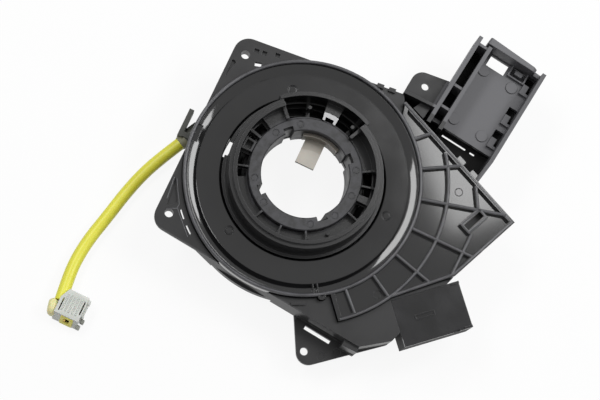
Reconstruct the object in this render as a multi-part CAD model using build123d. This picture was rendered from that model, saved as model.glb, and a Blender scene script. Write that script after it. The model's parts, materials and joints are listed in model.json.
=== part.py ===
from build123d import *
import math
import os

os.makedirs("parts", exist_ok=True)

# Steering clock spring, millimetres. Z is the turning axis and Z = 0 the surface that the wheel side
# rests on. X runs from the straight side towards the fan, and the ears lie mirrored about X.

# Heights of the turning half
STAND_OFF = 11.0
DISC_T = 2.5
DRUM_RISE = 2.7
HUB_TOP = 41.0
HUB_FLANGE_T = 2.5
HUB_TUBE_L = 19.0
WINDING_TOP = 29.0
DISC_RIB_H = 1.5

# Radii of the turning half, with the walls and steps that lead from the bore outwards
BORE_R = 21.0
HUB_TUBE_T = 1.8
TUBE_STEP = 0.3
SLEEVE_T = 2.2
STEP_T = 2.0
PILOT_COLLAR_T = 3.4
HUB_FLANGE_W = 6.2
WINDING_GAP = 2.2
WINDING_T = 2.8
DRUM_R = 57.7
DRUM_T = 1.8

# Turret that stands round the hub flange, with its steps measured outwards from the flange
TURRET_RISE = 7.0
TURRET_DEPTH = 5.0
TURRET_GAP = 5.6
TURRET_T = 1.8
LEDGE_W, LEDGE_DROP = 1.9, 2.0
TURRET_FLARE = 1.1
TURRET_FOOT_W, TURRET_FOOT_T = 1.3, 1.2
RECESS_START, RECESS_SWEEP, RECESS_OUT = 65.0, 67.0, 2.3
RECESS_POSTS = (70.5, 110.5)
POCKETS = [(153.5, 10.5), (167.0, 5.0), (184.5, 11.5), (199.0, 7.0), (343.5, 14.0), (5.0, 8.0), (14.5, 13.0)]
BRIDGES = [(133.0, 19.0), (164.3, 2.4), (358.0, 6.6)]
TURRET_RIBS = (13.8, 28.2, 197.8, 246.0, 270.0, 295.0, 343.0)
DOMES, DOME_R = (296.5, 316.0), 0.9
FRAME_START, FRAME_SWEEP, FRAME_T = 172.0, 11.0, 0.9
SIGHT_START, SIGHT_SWEEP, SIGHT_W = 178.5, 10.5, 1.7
SIGHT_LEAN = 6.0

# Clearances
SEAT_GAP = 0.1
TURN_GAP = 0.8
FLOOR_GAP = 1.0

# Heights of the fixed half
FLANGE_TOP = 31.0
FLANGE_T = 2.5
BEAD_RISE = 3.0
COVER_T = 2.0
PLATE_T = 2.0
LOW_EAR_TOP = 14.0
LOW_EAR_T = 2.5
RIB_T = 1.5
BOSS_L = 7.0

# Outline of the fixed half. The case wall stands inside the drum's edge and runs over it.
SIDE_INSET = 1.2
SIDE_SLOPE = 5.6
SKIRT_START = 31.6
SKIRT_SLANT = 11.0
EAR_CORNER_R = 7.5
CASE_END_X = 57.5
CASE_CORNER_X, CASE_CORNER_Y = 70.5, -52.8
WALL = 2.0
RING_WALL_T = 2.0
BEAD_INSET = 0.2
BEAD_T = 1.9
BEAD_SHELF = 0.4
FAN_REACH = 43.2
FAN_TIP_Y = 24.2
FAN_TILT = 23.5
FAN_SIDE_L = 39.5
FAN_START_X = 29.0
FAN_ARC_OUT = 13.1
FAN_RIB_STEP = 15.0
FAN_LOW, FAN_HIGH = -52.0, 36.0
CONNECTOR_EDGE = -29.0

# Cover, with its steps measured inwards from the bead
CHAMFER_W = 4.2
CLIP_RIBS = (-60.7, -58.4)
CLIP_BOSS_ANGLE = -56.9
FAN_SLOT_X, FAN_SLOT_Y = 82.5, 16.3
FAN_SLOT_L, FAN_SLOT_W = 10.2, 3.0
FAN_NOTCH, FAN_NOTCH_L = 20.5, 2.8
EJECTOR_R, EJECTOR_PLACE_R = 2.2, 43.6

# Screw holes in the four ears, measured in from the sides and out from them
REAR_EAR_IN_X, REAR_EAR_IN_Y, REAR_HOLE_R = 6.3, 13.5, 2.1
LOW_EAR_X, LOW_EAR_OUT_Y, LOW_HOLE_R = 35.8, 16.1, 1.9
EAR_DIMPLES = [(8.4, 1.1), (14.5, 6.5)]

# Module tray, turned about the origin with its sides
TRAY_TURN = -7.3
TRAY_LEFT, TRAY_W = 35.2, 37.8
TRAY_L = 52.0
TRAY_FOOT = 4.8
TRAY_FLOOR_Z = 22.0
TRAY_WALL_TOP = 33.0
TRAY_SKIRT_Z = 16.0
CHANNEL_W = 4.6
PAD_R, PAD_RISE = 2.9, 0.6
PIT_W = 4.8
WINDOW_L, WINDOW_W = 10.0, 5.9
WELL_Z = 14.0
WELL_END_X = 76.6

# Harness connector
PLUG_IN_OUT = 31.3
PLUG_IN_ANGLE = -21.7
PLUG_IN_TURN = 41.7
PLUG_IN_L, PLUG_IN_W = 34.0, 23.0
PLUG_IN_LOW, PLUG_IN_HIGH = 13.0, 31.0
PLUG_IN_WALL = 1.8
PLUG_IN_DEPTH = 25.0
FOOT_L, FOOT_W, FOOT_H = 10.0, 12.0, 4.0
LATCH_L, LATCH_W = 10.0, 2.6
PIN_W = 0.64
PIN_L = 16.0
PIN_PITCH = 2.5
PIN_COLUMNS, PIN_ROWS = 6, 2

# Ribbon chamber
RIBBON_H = 10.0
RIBBON_T = 0.4
RIBBON_TURNS = 4
RIBBON_IN_GAP, RIBBON_OUT_GAP = 1.9, 7.9
TERMINAL_W, TERMINAL_T = 6.0, 2.0
FILM_T = 0.3
FILM_GAP = 0.6
BLOCK_W, BLOCK_H, BLOCK_OUT = 16.0, 7.0, 7.0
BAR_COUNT = 6
BAR_PITCH = 1.9
BAR_W = 1.3
BAR_T = 0.6
BAR_SWEEP = 31.0

# Bore lock and the ring it snaps into
LOCK_T = 1.6
LOCK_START, LOCK_SWEEP = 62.0, 54.0
LOCK_H = 8.3
LOCK_RISE = 6.2
TAB_X = -2.0
TAB_W, TAB_REACH, TAB_T = 9.6, 13.4, 2.0
NOTCH_SWEEP = 12.0
NOTCH_DEPTH = 2.8
DIMPLE_R = 1.7

# Wheel side
LUG_R, LUG_PLACE_R = 3.6, 42.0
SOCKET_W, SOCKET_D = 30.0, 14.0
SOCKET_Y = -40.0
SOCKET_WALL = 1.6
SOCKET_DEPTH = 8.5
WHEEL_PIN_PITCH, WHEEL_PIN_ROWS = 3.4, 3.6

# Lead clip at the disc's edge: its foot on the disc, and an arm that stands free beside the lead
CLIP_FOOT_L, CLIP_FOOT_W, CLIP_FOOT_LOW = 12.0, 12.0, 1.2
CLIP_ARM_L, CLIP_ARM_T = 14.6, 2.4
CLIP_LOW, CLIP_HIGH = 3.0, 10.0

# Airbag lead. Its route starts at the clip, and each later corner point is measured from the first.
LEAD_D = 6.2
LEAD_OUT = 1.9
LEAD_Y, LEAD_Z = -1.8, 4.6
LEAD_RUN = [
    (-5.4, -10.2, -0.9), (-11.3, -23.7, -1.5), (-15.0, -37.2, -1.5), (-17.7, -50.7, -1.5),
    (-20.8, -64.2, -1.5), (-21.8, -77.2, -1.1), (-20.6, -89.2, 0.3),
]
PLUG_OUT_X, PLUG_OUT_Y = 6.6, -8.4
PLUG_TURN = -7.0
PLUG_W, PLUG_L, PLUG_H = 14.0, 13.5, 10.0
PLUG_WALL = 1.4

# Radii that follow from the sizes above
HUB_TUBE_R = BORE_R + HUB_TUBE_T
SEAT_R = HUB_TUBE_R + SEAT_GAP
STEP_R = SEAT_R - TUBE_STEP
SLEEVE_R = STEP_R + SLEEVE_T
HUB_FLANGE_R = BORE_R + HUB_FLANGE_W
WINDING_R = HUB_FLANGE_R + WINDING_GAP
PILOT_R = WINDING_R - WINDING_T
NECK_R = SLEEVE_R + 3 * SEAT_GAP
TURRET_IN_R = HUB_FLANGE_R + TURRET_GAP
TURRET_R = TURRET_IN_R + TURRET_T
LEDGE_R = TURRET_R + LEDGE_W
TURRET_WALL_R = LEDGE_R + TURRET_FLARE
TURRET_FOOT_R = TURRET_WALL_R + TURRET_FOOT_W
COVER_IN_R = TURRET_FOOT_R + TURN_GAP
RUN_R = DRUM_R + TURN_GAP
BEAD_R = DRUM_R - BEAD_INSET
COVER_R = BEAD_R + 3 * SEAT_GAP
RING_WALL_R = BEAD_R - BEAD_T - BEAD_SHELF
RING_WALL_IN_R = RING_WALL_R - RING_WALL_T
FAN_ARC_R = BEAD_R + FAN_ARC_OUT
RIBBON_INNER_R = WINDING_R + RIBBON_IN_GAP
RIBBON_OUTER_R = RING_WALL_R - RIBBON_OUT_GAP
FILM_OUTER_R = RING_WALL_IN_R - FILM_GAP

# Levels that follow from the sizes above
DISC_TOP = STAND_OFF + DISC_T
DRUM_TOP = DISC_TOP + DRUM_RISE
HUB_SEAT = HUB_TOP - HUB_FLANGE_T
HUB_TUBE_LOW = HUB_TOP - HUB_TUBE_L
STEP_LOW = HUB_TUBE_LOW - STEP_T
SKIRT_LOW = STAND_OFF + FLOOR_GAP
PLATE_LOW = DRUM_TOP + TURN_GAP
PLATE_TOP = PLATE_LOW + PLATE_T
COVER_SEAT = FLANGE_TOP - COVER_T
RIM_TOP = FLANGE_TOP + BEAD_RISE
ABOVE_ALL = RIM_TOP + 5
TURRET_TOP = HUB_TOP + TURRET_RISE
TURRET_FLOOR = HUB_TOP - TURRET_DEPTH
TURRET_LOW = COVER_SEAT + FLOOR_GAP
LEDGE_TOP = TURRET_TOP - LEDGE_DROP
RIBBON_LOW = DISC_TOP + FILM_T + FLOOR_GAP

# Places that follow from the sizes above
SIDE_X = DRUM_R - SIDE_INSET
SIDE_Y = DRUM_R - SIDE_INSET - SEAT_GAP
REAR_EAR_X = REAR_EAR_IN_X - SIDE_X
REAR_EAR_Y = SIDE_Y - REAR_EAR_IN_Y
LOW_EAR_Y = SIDE_Y + LOW_EAR_OUT_Y
FAN_TIP_X = BEAD_R + FAN_REACH
TRAY_LOW = SIDE_Y
TRAY_HIGH = TRAY_LOW + TRAY_L
TRAY_RIGHT = TRAY_LEFT + TRAY_W
TRAY_FLOOR_START = TRAY_LOW + TRAY_FOOT
LEAD_X = -DRUM_R - LEAD_OUT
LEAD_EXIT = (LEAD_X, LEAD_Y, LEAD_Z)
LEAD_ROUTE = [LEAD_EXIT] + [(LEAD_X + x, LEAD_Y + y, LEAD_Z + z) for x, y, z in LEAD_RUN]


def polar(radius, angle):
    return (radius * math.cos(math.radians(angle)), radius * math.sin(math.radians(angle)))


def plan(corners):
    """A flat face from corners given as (x, y, corner radius)."""
    points = [(x, y) for x, y, _ in corners]
    radii = [radius for _, _, radius in corners]
    return make_face(FilletPolyline(*points, radius=radii, close=True))


def prism(corners, low, high):
    return Pos(0, 0, low) * extrude(plan(corners), high - low)


def ring(outer, inner, low, high):
    return Pos(0, 0, low) * extrude(Circle(outer) - Circle(inner), high - low)


def post(x, y, radius, low, high):
    return Pos(x, y, low) * extrude(Circle(radius), high - low)


def block(x, y, length, width, angle, low, high):
    """A box with its length along the given angle."""
    return Pos(x, y, low) * Rot(0, 0, angle) * extrude(Rectangle(length, width), high - low)


def spoke(inner, outer, width, angle, low, high):
    """A straight rib from one radius to another."""
    x, y = polar((inner + outer) / 2, angle)
    return block(x, y, outer - inner, width, angle, low, high)


def wall_between(start, end, width, low, high):
    """A straight wall between two points of the plan."""
    run = math.dist(start, end)
    turn = math.degrees(math.atan2(end[1] - start[1], end[0] - start[0]))
    return block((start[0] + end[0]) / 2, (start[1] + end[1]) / 2, run, width, turn, low, high)


def sector(outer, inner, start, sweep, low, high):
    """A stretch of a ring between two angles."""
    end = start + sweep
    middle = start + sweep / 2
    edges = [
        ThreePointArc(polar(outer, start), polar(outer, middle), polar(outer, end)),
        Line(polar(outer, end), polar(inner, end)),
        ThreePointArc(polar(inner, end), polar(inner, middle), polar(inner, start)),
        Line(polar(inner, start), polar(outer, start)),
    ]
    return Pos(0, 0, low) * extrude(make_face(edges), high - low)


def turned(profile):
    """A body of revolution from (radius, height) points."""
    return revolve(Plane.XZ * make_face(Polyline(*profile, close=True)), Axis.Z)


def side_y(x):
    """Half width of the case at x, between its two slanted sides."""
    return SIDE_Y + x * math.tan(math.radians(SIDE_SLOPE))


def fan_edge(x):
    """Height in Y of the fan's long slanted edge at x."""
    return FAN_TIP_Y + (FAN_TIP_X - x) * math.tan(math.radians(FAN_TILT))


def fan_side(along):
    """Point on the fan's short side, measured from its tip."""
    turn = math.radians(90 - FAN_TILT)
    return (FAN_TIP_X - along * math.cos(turn), FAN_TIP_Y - along * math.sin(turn))


def tray_xy(u, v):
    """Point of the plan given in the tray's own turned axes."""
    turn = math.radians(TRAY_TURN)
    return (u * math.cos(turn) - v * math.sin(turn), u * math.sin(turn) + v * math.cos(turn))


def tray_block(u_low, u_high, v_low, v_high, low, high):
    x, y = tray_xy((u_low + u_high) / 2, (v_low + v_high) / 2)
    return block(x, y, u_high - u_low, v_high - v_low, TRAY_TURN, low, high)


def harness_frame():
    """Place of the harness connector, with its mouth along local +X."""
    x, y = polar(BEAD_R + PLUG_IN_OUT, PLUG_IN_ANGLE)
    return Pos(x, y, 0) * Rot(0, 0, PLUG_IN_TURN)


def harness_space(gap):
    size = Rectangle(PLUG_IN_L + 2 * gap, PLUG_IN_W + 2 * gap)
    low = PLUG_IN_LOW - gap
    return harness_frame() * Pos(0, 0, low) * extrude(size, ABOVE_ALL - low)


def case_plan():
    """Face of the case inside its slanted sides, the fan's two edges and two rounded ear corners."""
    left = -SIDE_X
    meet = FAN_START_X - 2
    corners = [
        (left, -side_y(left), EAR_CORNER_R), (CASE_END_X, -side_y(CASE_END_X), 0),
        (CASE_CORNER_X, CASE_CORNER_Y, 0), (*fan_side(FAN_SIDE_L), 0), (FAN_TIP_X, FAN_TIP_Y, RIB_T),
        (FAN_START_X, fan_edge(FAN_START_X), 0), (meet, side_y(meet), 0), (left, side_y(left), EAR_CORNER_R),
    ]
    return plan(corners)


def fan_plan(gap):
    """Face of the fan cover outside the ring, grown or shrunk by a gap."""
    root_r = RING_WALL_IN_R - 1.2
    arc_start, arc_end = polar(FAN_ARC_R, FAN_LOW), polar(FAN_ARC_R, CONNECTOR_EDGE)
    start_point, side_end = (FAN_START_X, fan_edge(FAN_START_X)), fan_side(FAN_SIDE_L)
    edges = [
        Line(polar(root_r, FAN_LOW - 1), arc_start),
        ThreePointArc(arc_start, polar(FAN_ARC_R, (FAN_LOW + CONNECTOR_EDGE) / 2), arc_end),
        Line(arc_end, side_end),
        Line(side_end, (FAN_TIP_X, FAN_TIP_Y)),
        Line((FAN_TIP_X, FAN_TIP_Y), start_point),
        Line(start_point, polar(root_r, -FAN_LOW)),
        Line(polar(root_r, -FAN_LOW), polar(root_r, FAN_LOW - 1)),
    ]
    face = make_face(edges)
    if gap:
        face = offset(face, gap, kind=Kind.INTERSECTION)
    return face


def fan_prism(gap, low, high):
    return Pos(0, 0, low) * extrude(fan_plan(gap), high - low)


def rotor_case():
    """Disc, drum rim, winding drum and inner sleeve in one moulding, with drive lugs on the wheel side."""
    body = ring(DRUM_R, PILOT_R, STAND_OFF, DISC_TOP)
    body += ring(DRUM_R, DRUM_R - DRUM_T, STAND_OFF, DRUM_TOP)
    body += ring(WINDING_R, PILOT_R, STAND_OFF, WINDING_TOP)
    body += ring(WINDING_R, STEP_R, STEP_LOW, HUB_TUBE_LOW)
    body += ring(SLEEVE_R, SEAT_R, HUB_TUBE_LOW, HUB_SEAT)
    body += ring(PILOT_R + PILOT_COLLAR_T, PILOT_R, 0, STAND_OFF)
    for k in range(12):
        body += spoke(SLEEVE_R - 0.5, PILOT_R + 0.5, RIB_T, 15 + 30 * k, STEP_LOW, WINDING_TOP - RIB_T)
    rib_low = STAND_OFF - DISC_RIB_H
    for angle in (30, 150):
        x, y = polar(LUG_PLACE_R, angle)
        body += post(x, y, LUG_R, 0, STAND_OFF)
        body += post(x, y, LUG_R + WALL, rib_low, STAND_OFF)
    for angle in (15, 45, 75, 105, 135, 165, 195, 225, 315, 345):
        body += spoke(PILOT_R + PILOT_COLLAR_T - 0.5, DRUM_R - WALL, RIB_T, angle, rib_low, STAND_OFF)
    body += ring(DRUM_R - WALL, DRUM_R - WALL - RIB_T, rib_low, STAND_OFF)
    return body - terminal_space(SEAT_GAP) - clip_foot(SEAT_GAP) - sight(STAND_OFF - 1, DISC_TOP + 1)


def clip_foot(gap):
    """Room of the lead clip's foot on the disc."""
    x = -DRUM_R + CLIP_FOOT_L / 2 + 2 * SEAT_GAP
    y = LEAD_Y + CLIP_FOOT_W / 2 - 0.7
    return block(x, y, CLIP_FOOT_L + 2 * gap, CLIP_FOOT_W + 2 * gap, 0, CLIP_FOOT_LOW, STAND_OFF)


def terminal_space(gap):
    """Room of the inner terminal, sunk into the face of the winding drum."""
    size = Rectangle(TERMINAL_T + 2 * gap, TERMINAL_W + 2 * gap)
    centre = Pos(WINDING_R - TERMINAL_T / 2, 0, RIBBON_LOW - gap)
    return centre * extrude(size, RIBBON_H + 2 * gap)


def inner_terminal():
    """Block in the winding drum that grips the ribbon's inner end."""
    return terminal_space(0)


def lock_windows(gap):
    """Two windows in the hub ring's tube for the lock's teeth."""
    low = HUB_TUBE_LOW + LOCK_RISE + LOCK_H / 3
    margin = LOCK_SWEEP / 6
    teeth = [sector(HUB_TUBE_R - 0.7 + 2 * gap, BORE_R - 3 * SEAT_GAP - gap, start - gap, margin + 2 * gap,
                    low - gap, low + LOCK_H / 4 + gap)
             for start in (LOCK_START + margin, LOCK_START + LOCK_SWEEP - 2 * margin)]
    return teeth[0] + teeth[1]


def sight(low, high):
    """Window in disc and film, which a slanted look through the one in the turret's foot meets."""
    outer = TURRET_FOOT_R + SIGHT_W / 2
    return sector(outer, outer - 2 * SIGHT_W, SIGHT_START - SIGHT_LEAN - 2, SIGHT_SWEEP + 4, low, high)


def turret():
    """Stepped wall round the flange, on a floor that joins it to the flange's neck."""
    floor_low = TURRET_FLOOR - RIB_T
    flange_low = HUB_SEAT + HUB_FLANGE_T / 5
    shelf = LEDGE_TOP - TURRET_T
    foot_top = TURRET_LOW + TURRET_FOOT_T
    body = turned([
        (NECK_R, floor_low), (NECK_R, flange_low), (HUB_FLANGE_R, flange_low),
        (HUB_FLANGE_R, TURRET_FLOOR), (TURRET_IN_R, TURRET_FLOOR), (TURRET_IN_R, TURRET_TOP),
        (TURRET_R, TURRET_TOP), (TURRET_R, LEDGE_TOP), (LEDGE_R, LEDGE_TOP), (TURRET_WALL_R, foot_top),
        (TURRET_FOOT_R, foot_top), (TURRET_FOOT_R, TURRET_LOW), (TURRET_WALL_R - TURRET_T, TURRET_LOW),
        (LEDGE_R - TURRET_T, shelf), (TURRET_R, shelf), (TURRET_R, floor_low),
    ])
    for start, sweep in POCKETS:
        body -= sector(TURRET_IN_R - 0.4, HUB_FLANGE_R + 0.6, start, sweep, floor_low - 1, TURRET_FLOOR + 1)
    return body + turret_bridges() + turret_frame()


def turret_bridges():
    """Ribs and closed bridges between the flange and the turret's wall, and two domes between them."""
    inner, outer = HUB_FLANGE_R - 0.5, TURRET_IN_R + 0.5
    low, high = TURRET_FLOOR - 0.5, HUB_TOP - 0.4
    bridges = [sector(outer, inner, start, sweep, low, high) for start, sweep in BRIDGES]
    bridges += [spoke(inner, outer, RIB_T * 0.6, angle, low, high) for angle in TURRET_RIBS]
    for angle in DOMES:
        x, y = polar((inner + outer) / 2, angle)
        bridges.append(post(x, y, DOME_R, low, HUB_SEAT))
    return bridges


def turret_frame():
    """Thin-walled frame that stands on the turret's floor."""
    inner, outer = HUB_FLANGE_R + 0.2, TURRET_IN_R - 0.2
    low = TURRET_FLOOR - 0.5
    wall_sweep = 2 * FRAME_T
    frame = sector(outer, inner, FRAME_START, FRAME_SWEEP, low, HUB_TOP)
    return frame - sector(outer - FRAME_T, inner + FRAME_T, FRAME_START + wall_sweep,
                          FRAME_SWEEP - 2 * wall_sweep, low, HUB_TOP + 1)


def turret_recess(body):
    """Cut the wide recess into the turret, with a bulged wall, two cheeks, low bars and an inner shelf."""
    out = LEDGE_R + RECESS_OUT
    low, high = TURRET_LOW, LEDGE_TOP - 0.5
    start, sweep = RECESS_START - 1.5, RECESS_SWEEP + 3.0
    body -= sector(out, HUB_FLANGE_R + 0.3, RECESS_START, RECESS_SWEEP, low - 1, TURRET_TOP + 1)
    body += sector(out, LEDGE_R + 0.4, start, sweep, low, high)
    body += sector(HUB_FLANGE_R + 0.8, NECK_R, start, sweep, low, HUB_SEAT + HUB_FLANGE_T / 5)
    body += sector(TURRET_FOOT_R, LEDGE_R, start, sweep, low, low + TURRET_FOOT_T)
    for angle in (RECESS_START - 1.0, RECESS_START + RECESS_SWEEP + 1.0):
        body += spoke(HUB_FLANGE_R, LEDGE_R + 1, RIB_T, angle, low, high - 1)
    for angle in RECESS_POSTS:
        x, y = polar(TURRET_IN_R - 0.2, angle)
        body += spoke(HUB_FLANGE_R, LEDGE_R + 1, 2 * DOME_R, angle, low, low + RIB_T)
        body += post(x, y, DOME_R, low + 0.5, HUB_TOP - 1)
    seat_start = RECESS_START + RECESS_SWEEP / 2 - 14.0
    return body + sector(LEDGE_R + 1, TURRET_IN_R - 0.8, seat_start, 13.0, low + 0.5, HUB_SEAT + 0.5)


def hub_ring():
    """Flange on the column side with four notches at its bore, and the stepped turret round it."""
    flange = ring(HUB_FLANGE_R, BORE_R, HUB_SEAT, HUB_TOP)
    flange = chamfer(flange.edges().group_by(Axis.Z)[-1], HUB_FLANGE_T / 5)
    body = flange + ring(HUB_TUBE_R, BORE_R, HUB_TUBE_LOW, HUB_TOP - HUB_FLANGE_T / 2)
    for angle in (45, 135, 225, 315):
        body -= sector(BORE_R + NOTCH_DEPTH, BORE_R - 1, angle - NOTCH_SWEEP / 2, NOTCH_SWEEP,
                       HUB_TUBE_LOW - 1, HUB_TOP + 1)
    for angle in (0, 30, 120, 150, 210, 240, 300, 330):
        x, y = polar((BORE_R + HUB_FLANGE_R) / 2, angle)
        body -= post(x, y, DIMPLE_R, HUB_TOP - 0.25, HUB_TOP + 1)
    body += turret_recess(turret())
    foot = sector(TURRET_FOOT_R + 1, TURRET_FOOT_R - SIGHT_W, SIGHT_START, SIGHT_SWEEP, 0, ABOVE_ALL)
    return body - foot - lock_windows(4 * SEAT_GAP)


def transit_lock():
    """Curved band snapped into the bore wall, with a flat pull tab across the bore."""
    outer = BORE_R - SEAT_GAP
    low = HUB_TUBE_LOW + LOCK_RISE
    body = sector(outer, outer - LOCK_T, LOCK_START, LOCK_SWEEP, low, low + LOCK_H)
    root = outer - LOCK_T
    end = BORE_R - TAB_REACH - LOCK_T
    body += block(TAB_X, (root + end) / 2, TAB_W, root - end, 0, low, low + TAB_T)
    return body + lock_windows(0)


def front_film():
    film = ring(FILM_OUTER_R, WINDING_R + 3 * SEAT_GAP, DISC_TOP, DISC_TOP + FILM_T)
    return film - sight(DISC_TOP - 1, DISC_TOP + 1)


def ribbon_cable():
    """Flat cable wound edge-on from the rotor's drum out to the ring wall, in half-turn arcs."""
    pitch = (RIBBON_OUTER_R - RIBBON_INNER_R) / RIBBON_TURNS
    outer, inner = [], []
    for k in range(2 * RIBBON_TURNS):
        radius = RIBBON_INNER_R + k * pitch / 2
        centre = -pitch / 4 if k % 2 == 0 else pitch / 4
        start = 0 if k % 2 == 0 else 180
        for edges, shift in ((outer, RIBBON_T / 2), (inner, -RIBBON_T / 2)):
            points = [polar(radius + shift, start + turn) for turn in (0, 90, 180)]
            edges.append(ThreePointArc(*[(x + centre, y) for x, y in points]))
    ends = [Line(outer[0] @ 0, inner[0] @ 0), Line(outer[-1] @ 1, inner[-1] @ 1)]
    face = make_face(outer + inner + ends)
    return Pos(0, 0, RIBBON_LOW) * extrude(face, RIBBON_H)


def snap_teeth(gap):
    """Two teeth that reach from the fan's slanted edge over the well."""
    low, high = COVER_SEAT - gap, RIM_TOP - RIB_T
    teeth = [block(x, fan_edge(x) + 1.1, 4.6 + 2 * gap, 3.0 + 2 * gap, -FAN_TILT, low, high)
             for x in (WELL_END_X - 11.3, WELL_END_X - 2.9)]
    return teeth[0] + teeth[1]


def cover_ring():
    """Annulus, chamfer and bead, as one body of revolution."""
    bead_in = BEAD_R - BEAD_T
    chamfer_r = bead_in - 0.5 - CHAMFER_W
    return turned([
        (COVER_IN_R, COVER_SEAT), (BEAD_R, COVER_SEAT), (BEAD_R, RIM_TOP - 0.5), (BEAD_R - 0.5, RIM_TOP),
        (bead_in + 0.4, RIM_TOP), (bead_in, RIM_TOP - 0.9), (bead_in - 0.5, RIM_TOP - 0.9),
        (chamfer_r, FLANGE_TOP), (COVER_IN_R + 0.4, FLANGE_TOP), (COVER_IN_R, FLANGE_TOP - 0.4),
    ])


def fan_ribs():
    """Rim, radial ribs, arc ribs and the slot's frame on the fan."""
    low = FLANGE_TOP - 0.5
    outside = fan_prism(0, low, RIM_TOP) - post(0, 0, BEAD_R - 0.5, 0, ABOVE_ALL)
    ribs = outside - fan_prism(-WALL, 0, ABOVE_ALL)
    for k in range(-3, 4):
        ribs += outside & spoke(BEAD_R - RIB_T, FAN_TIP_X, RIB_T, k * FAN_RIB_STEP, low, RIM_TOP)
    ribs += outside & spoke(BEAD_R - RIB_T, BEAD_R + 4, RIB_T / 2, -53.0, low, RIM_TOP)
    ribs += outside & sector(FAN_ARC_R, FAN_ARC_R - RIB_T, FAN_LOW, FAN_HIGH - FAN_LOW, low, RIM_TOP)
    x, y = FAN_SLOT_X, FAN_SLOT_Y
    ribs += wall_between((x - 6.0, y + 16.1), (x - 0.6, y + 6.5), RIB_T, low, RIM_TOP)
    ribs += wall_between((x + 1.6, y - 6.3), (x + 0.8, y - 30.3), RIB_T, low, RIM_TOP)
    ribs += block(x, y, FAN_SLOT_L + 2.6, FAN_SLOT_W + 3.6, 90 - FAN_TILT, low, RIM_TOP)
    notch_x, notch_y = fan_side(FAN_NOTCH)
    return ribs - block(notch_x, notch_y, FAN_NOTCH_L, 2 * WALL, 90 - FAN_TILT, FLANGE_TOP, ABOVE_ALL)


def rear_cover():
    """Cover on the column side: annulus, chamfer and bead ring, and the ribbed fan."""
    body = cover_ring()
    body += fan_prism(0, COVER_SEAT, FLANGE_TOP) - post(0, 0, BEAD_R - 1, 0, ABOVE_ALL)
    body += fan_ribs()
    body -= block(FAN_SLOT_X, FAN_SLOT_Y, FAN_SLOT_L, FAN_SLOT_W, 90 - FAN_TILT, COVER_SEAT - 1, ABOVE_ALL)
    body += snap_teeth(0)
    for angle in (1, 121, 241):
        x, y = polar(EJECTOR_PLACE_R, angle)
        rim = ring(EJECTOR_R, EJECTOR_R * 0.7, FLANGE_TOP - 0.2, FLANGE_TOP + 1)
        body -= Pos(x, y, 0) * rim
    bead_in = BEAD_R - BEAD_T
    body -= sector(bead_in + 0.3, bead_in - 2.2, 178, 9, FLANGE_TOP + 0.4, ABOVE_ALL)
    for angle in CLIP_RIBS:
        body += spoke(bead_in - CHAMFER_W, BEAD_R - 1, 0.7, angle, FLANGE_TOP, RIM_TOP + 0.3)
    boss_x, boss_y = polar(BEAD_R, CLIP_BOSS_ANGLE)
    body += post(boss_x, boss_y, 1.9, COVER_SEAT, RIM_TOP + 0.3)
    body -= post(boss_x, boss_y, 0.8, RIM_TOP - 1, ABOVE_ALL)
    return body - harness_space(SEAT_GAP)


def rear_film():
    return ring(FILM_OUTER_R, COVER_IN_R + FILM_GAP, COVER_SEAT - FILM_T, COVER_SEAT)


def low_ears():
    """The two ears on the wheel side of the skirt, one free and one running into the tray."""
    low = LOW_EAR_TOP - LOW_EAR_T
    x, y = LOW_EAR_X, LOW_EAR_Y
    free = prism([(x - 12.3, 15.0 - y, 0), (x + 0.4, -y - 8.8, 6.0), (x + 34.2, 19.3 - y, 0)],
                 low, LOW_EAR_TOP)
    held_ear = [(x - 9.3, y - 15.5, 0), (x - 7.2, y + 6.1, 6.0), (x + 11.4, y + 7.9, 0),
                (x + 8.7, y - 14.5, 0)]
    held = prism(held_ear, low, LOW_EAR_TOP)
    free -= post(x, -y, LOW_HOLE_R, 0, ABOVE_ALL)
    held -= post(x, y, LOW_HOLE_R, 0, ABOVE_ALL)
    free -= block(x + 2.4, 9.9 - y, 14.0, 1.9, -6, 0, ABOVE_ALL)
    for dimple_x, dimple_y in EAR_DIMPLES:
        free -= post(x + dimple_x, dimple_y - y, LOW_HOLE_R, LOW_EAR_TOP - 0.4, ABOVE_ALL)
    gusset = [(x + 14.2, 8.0 - y, 0), (x + 22.0, 7.9 - y, 0), (x + 22.0, 10.8 - y, 0),
              (x + 14.2, 11.6 - y, 0)]
    return free + held + prism(gusset, low, COVER_SEAT)


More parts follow.
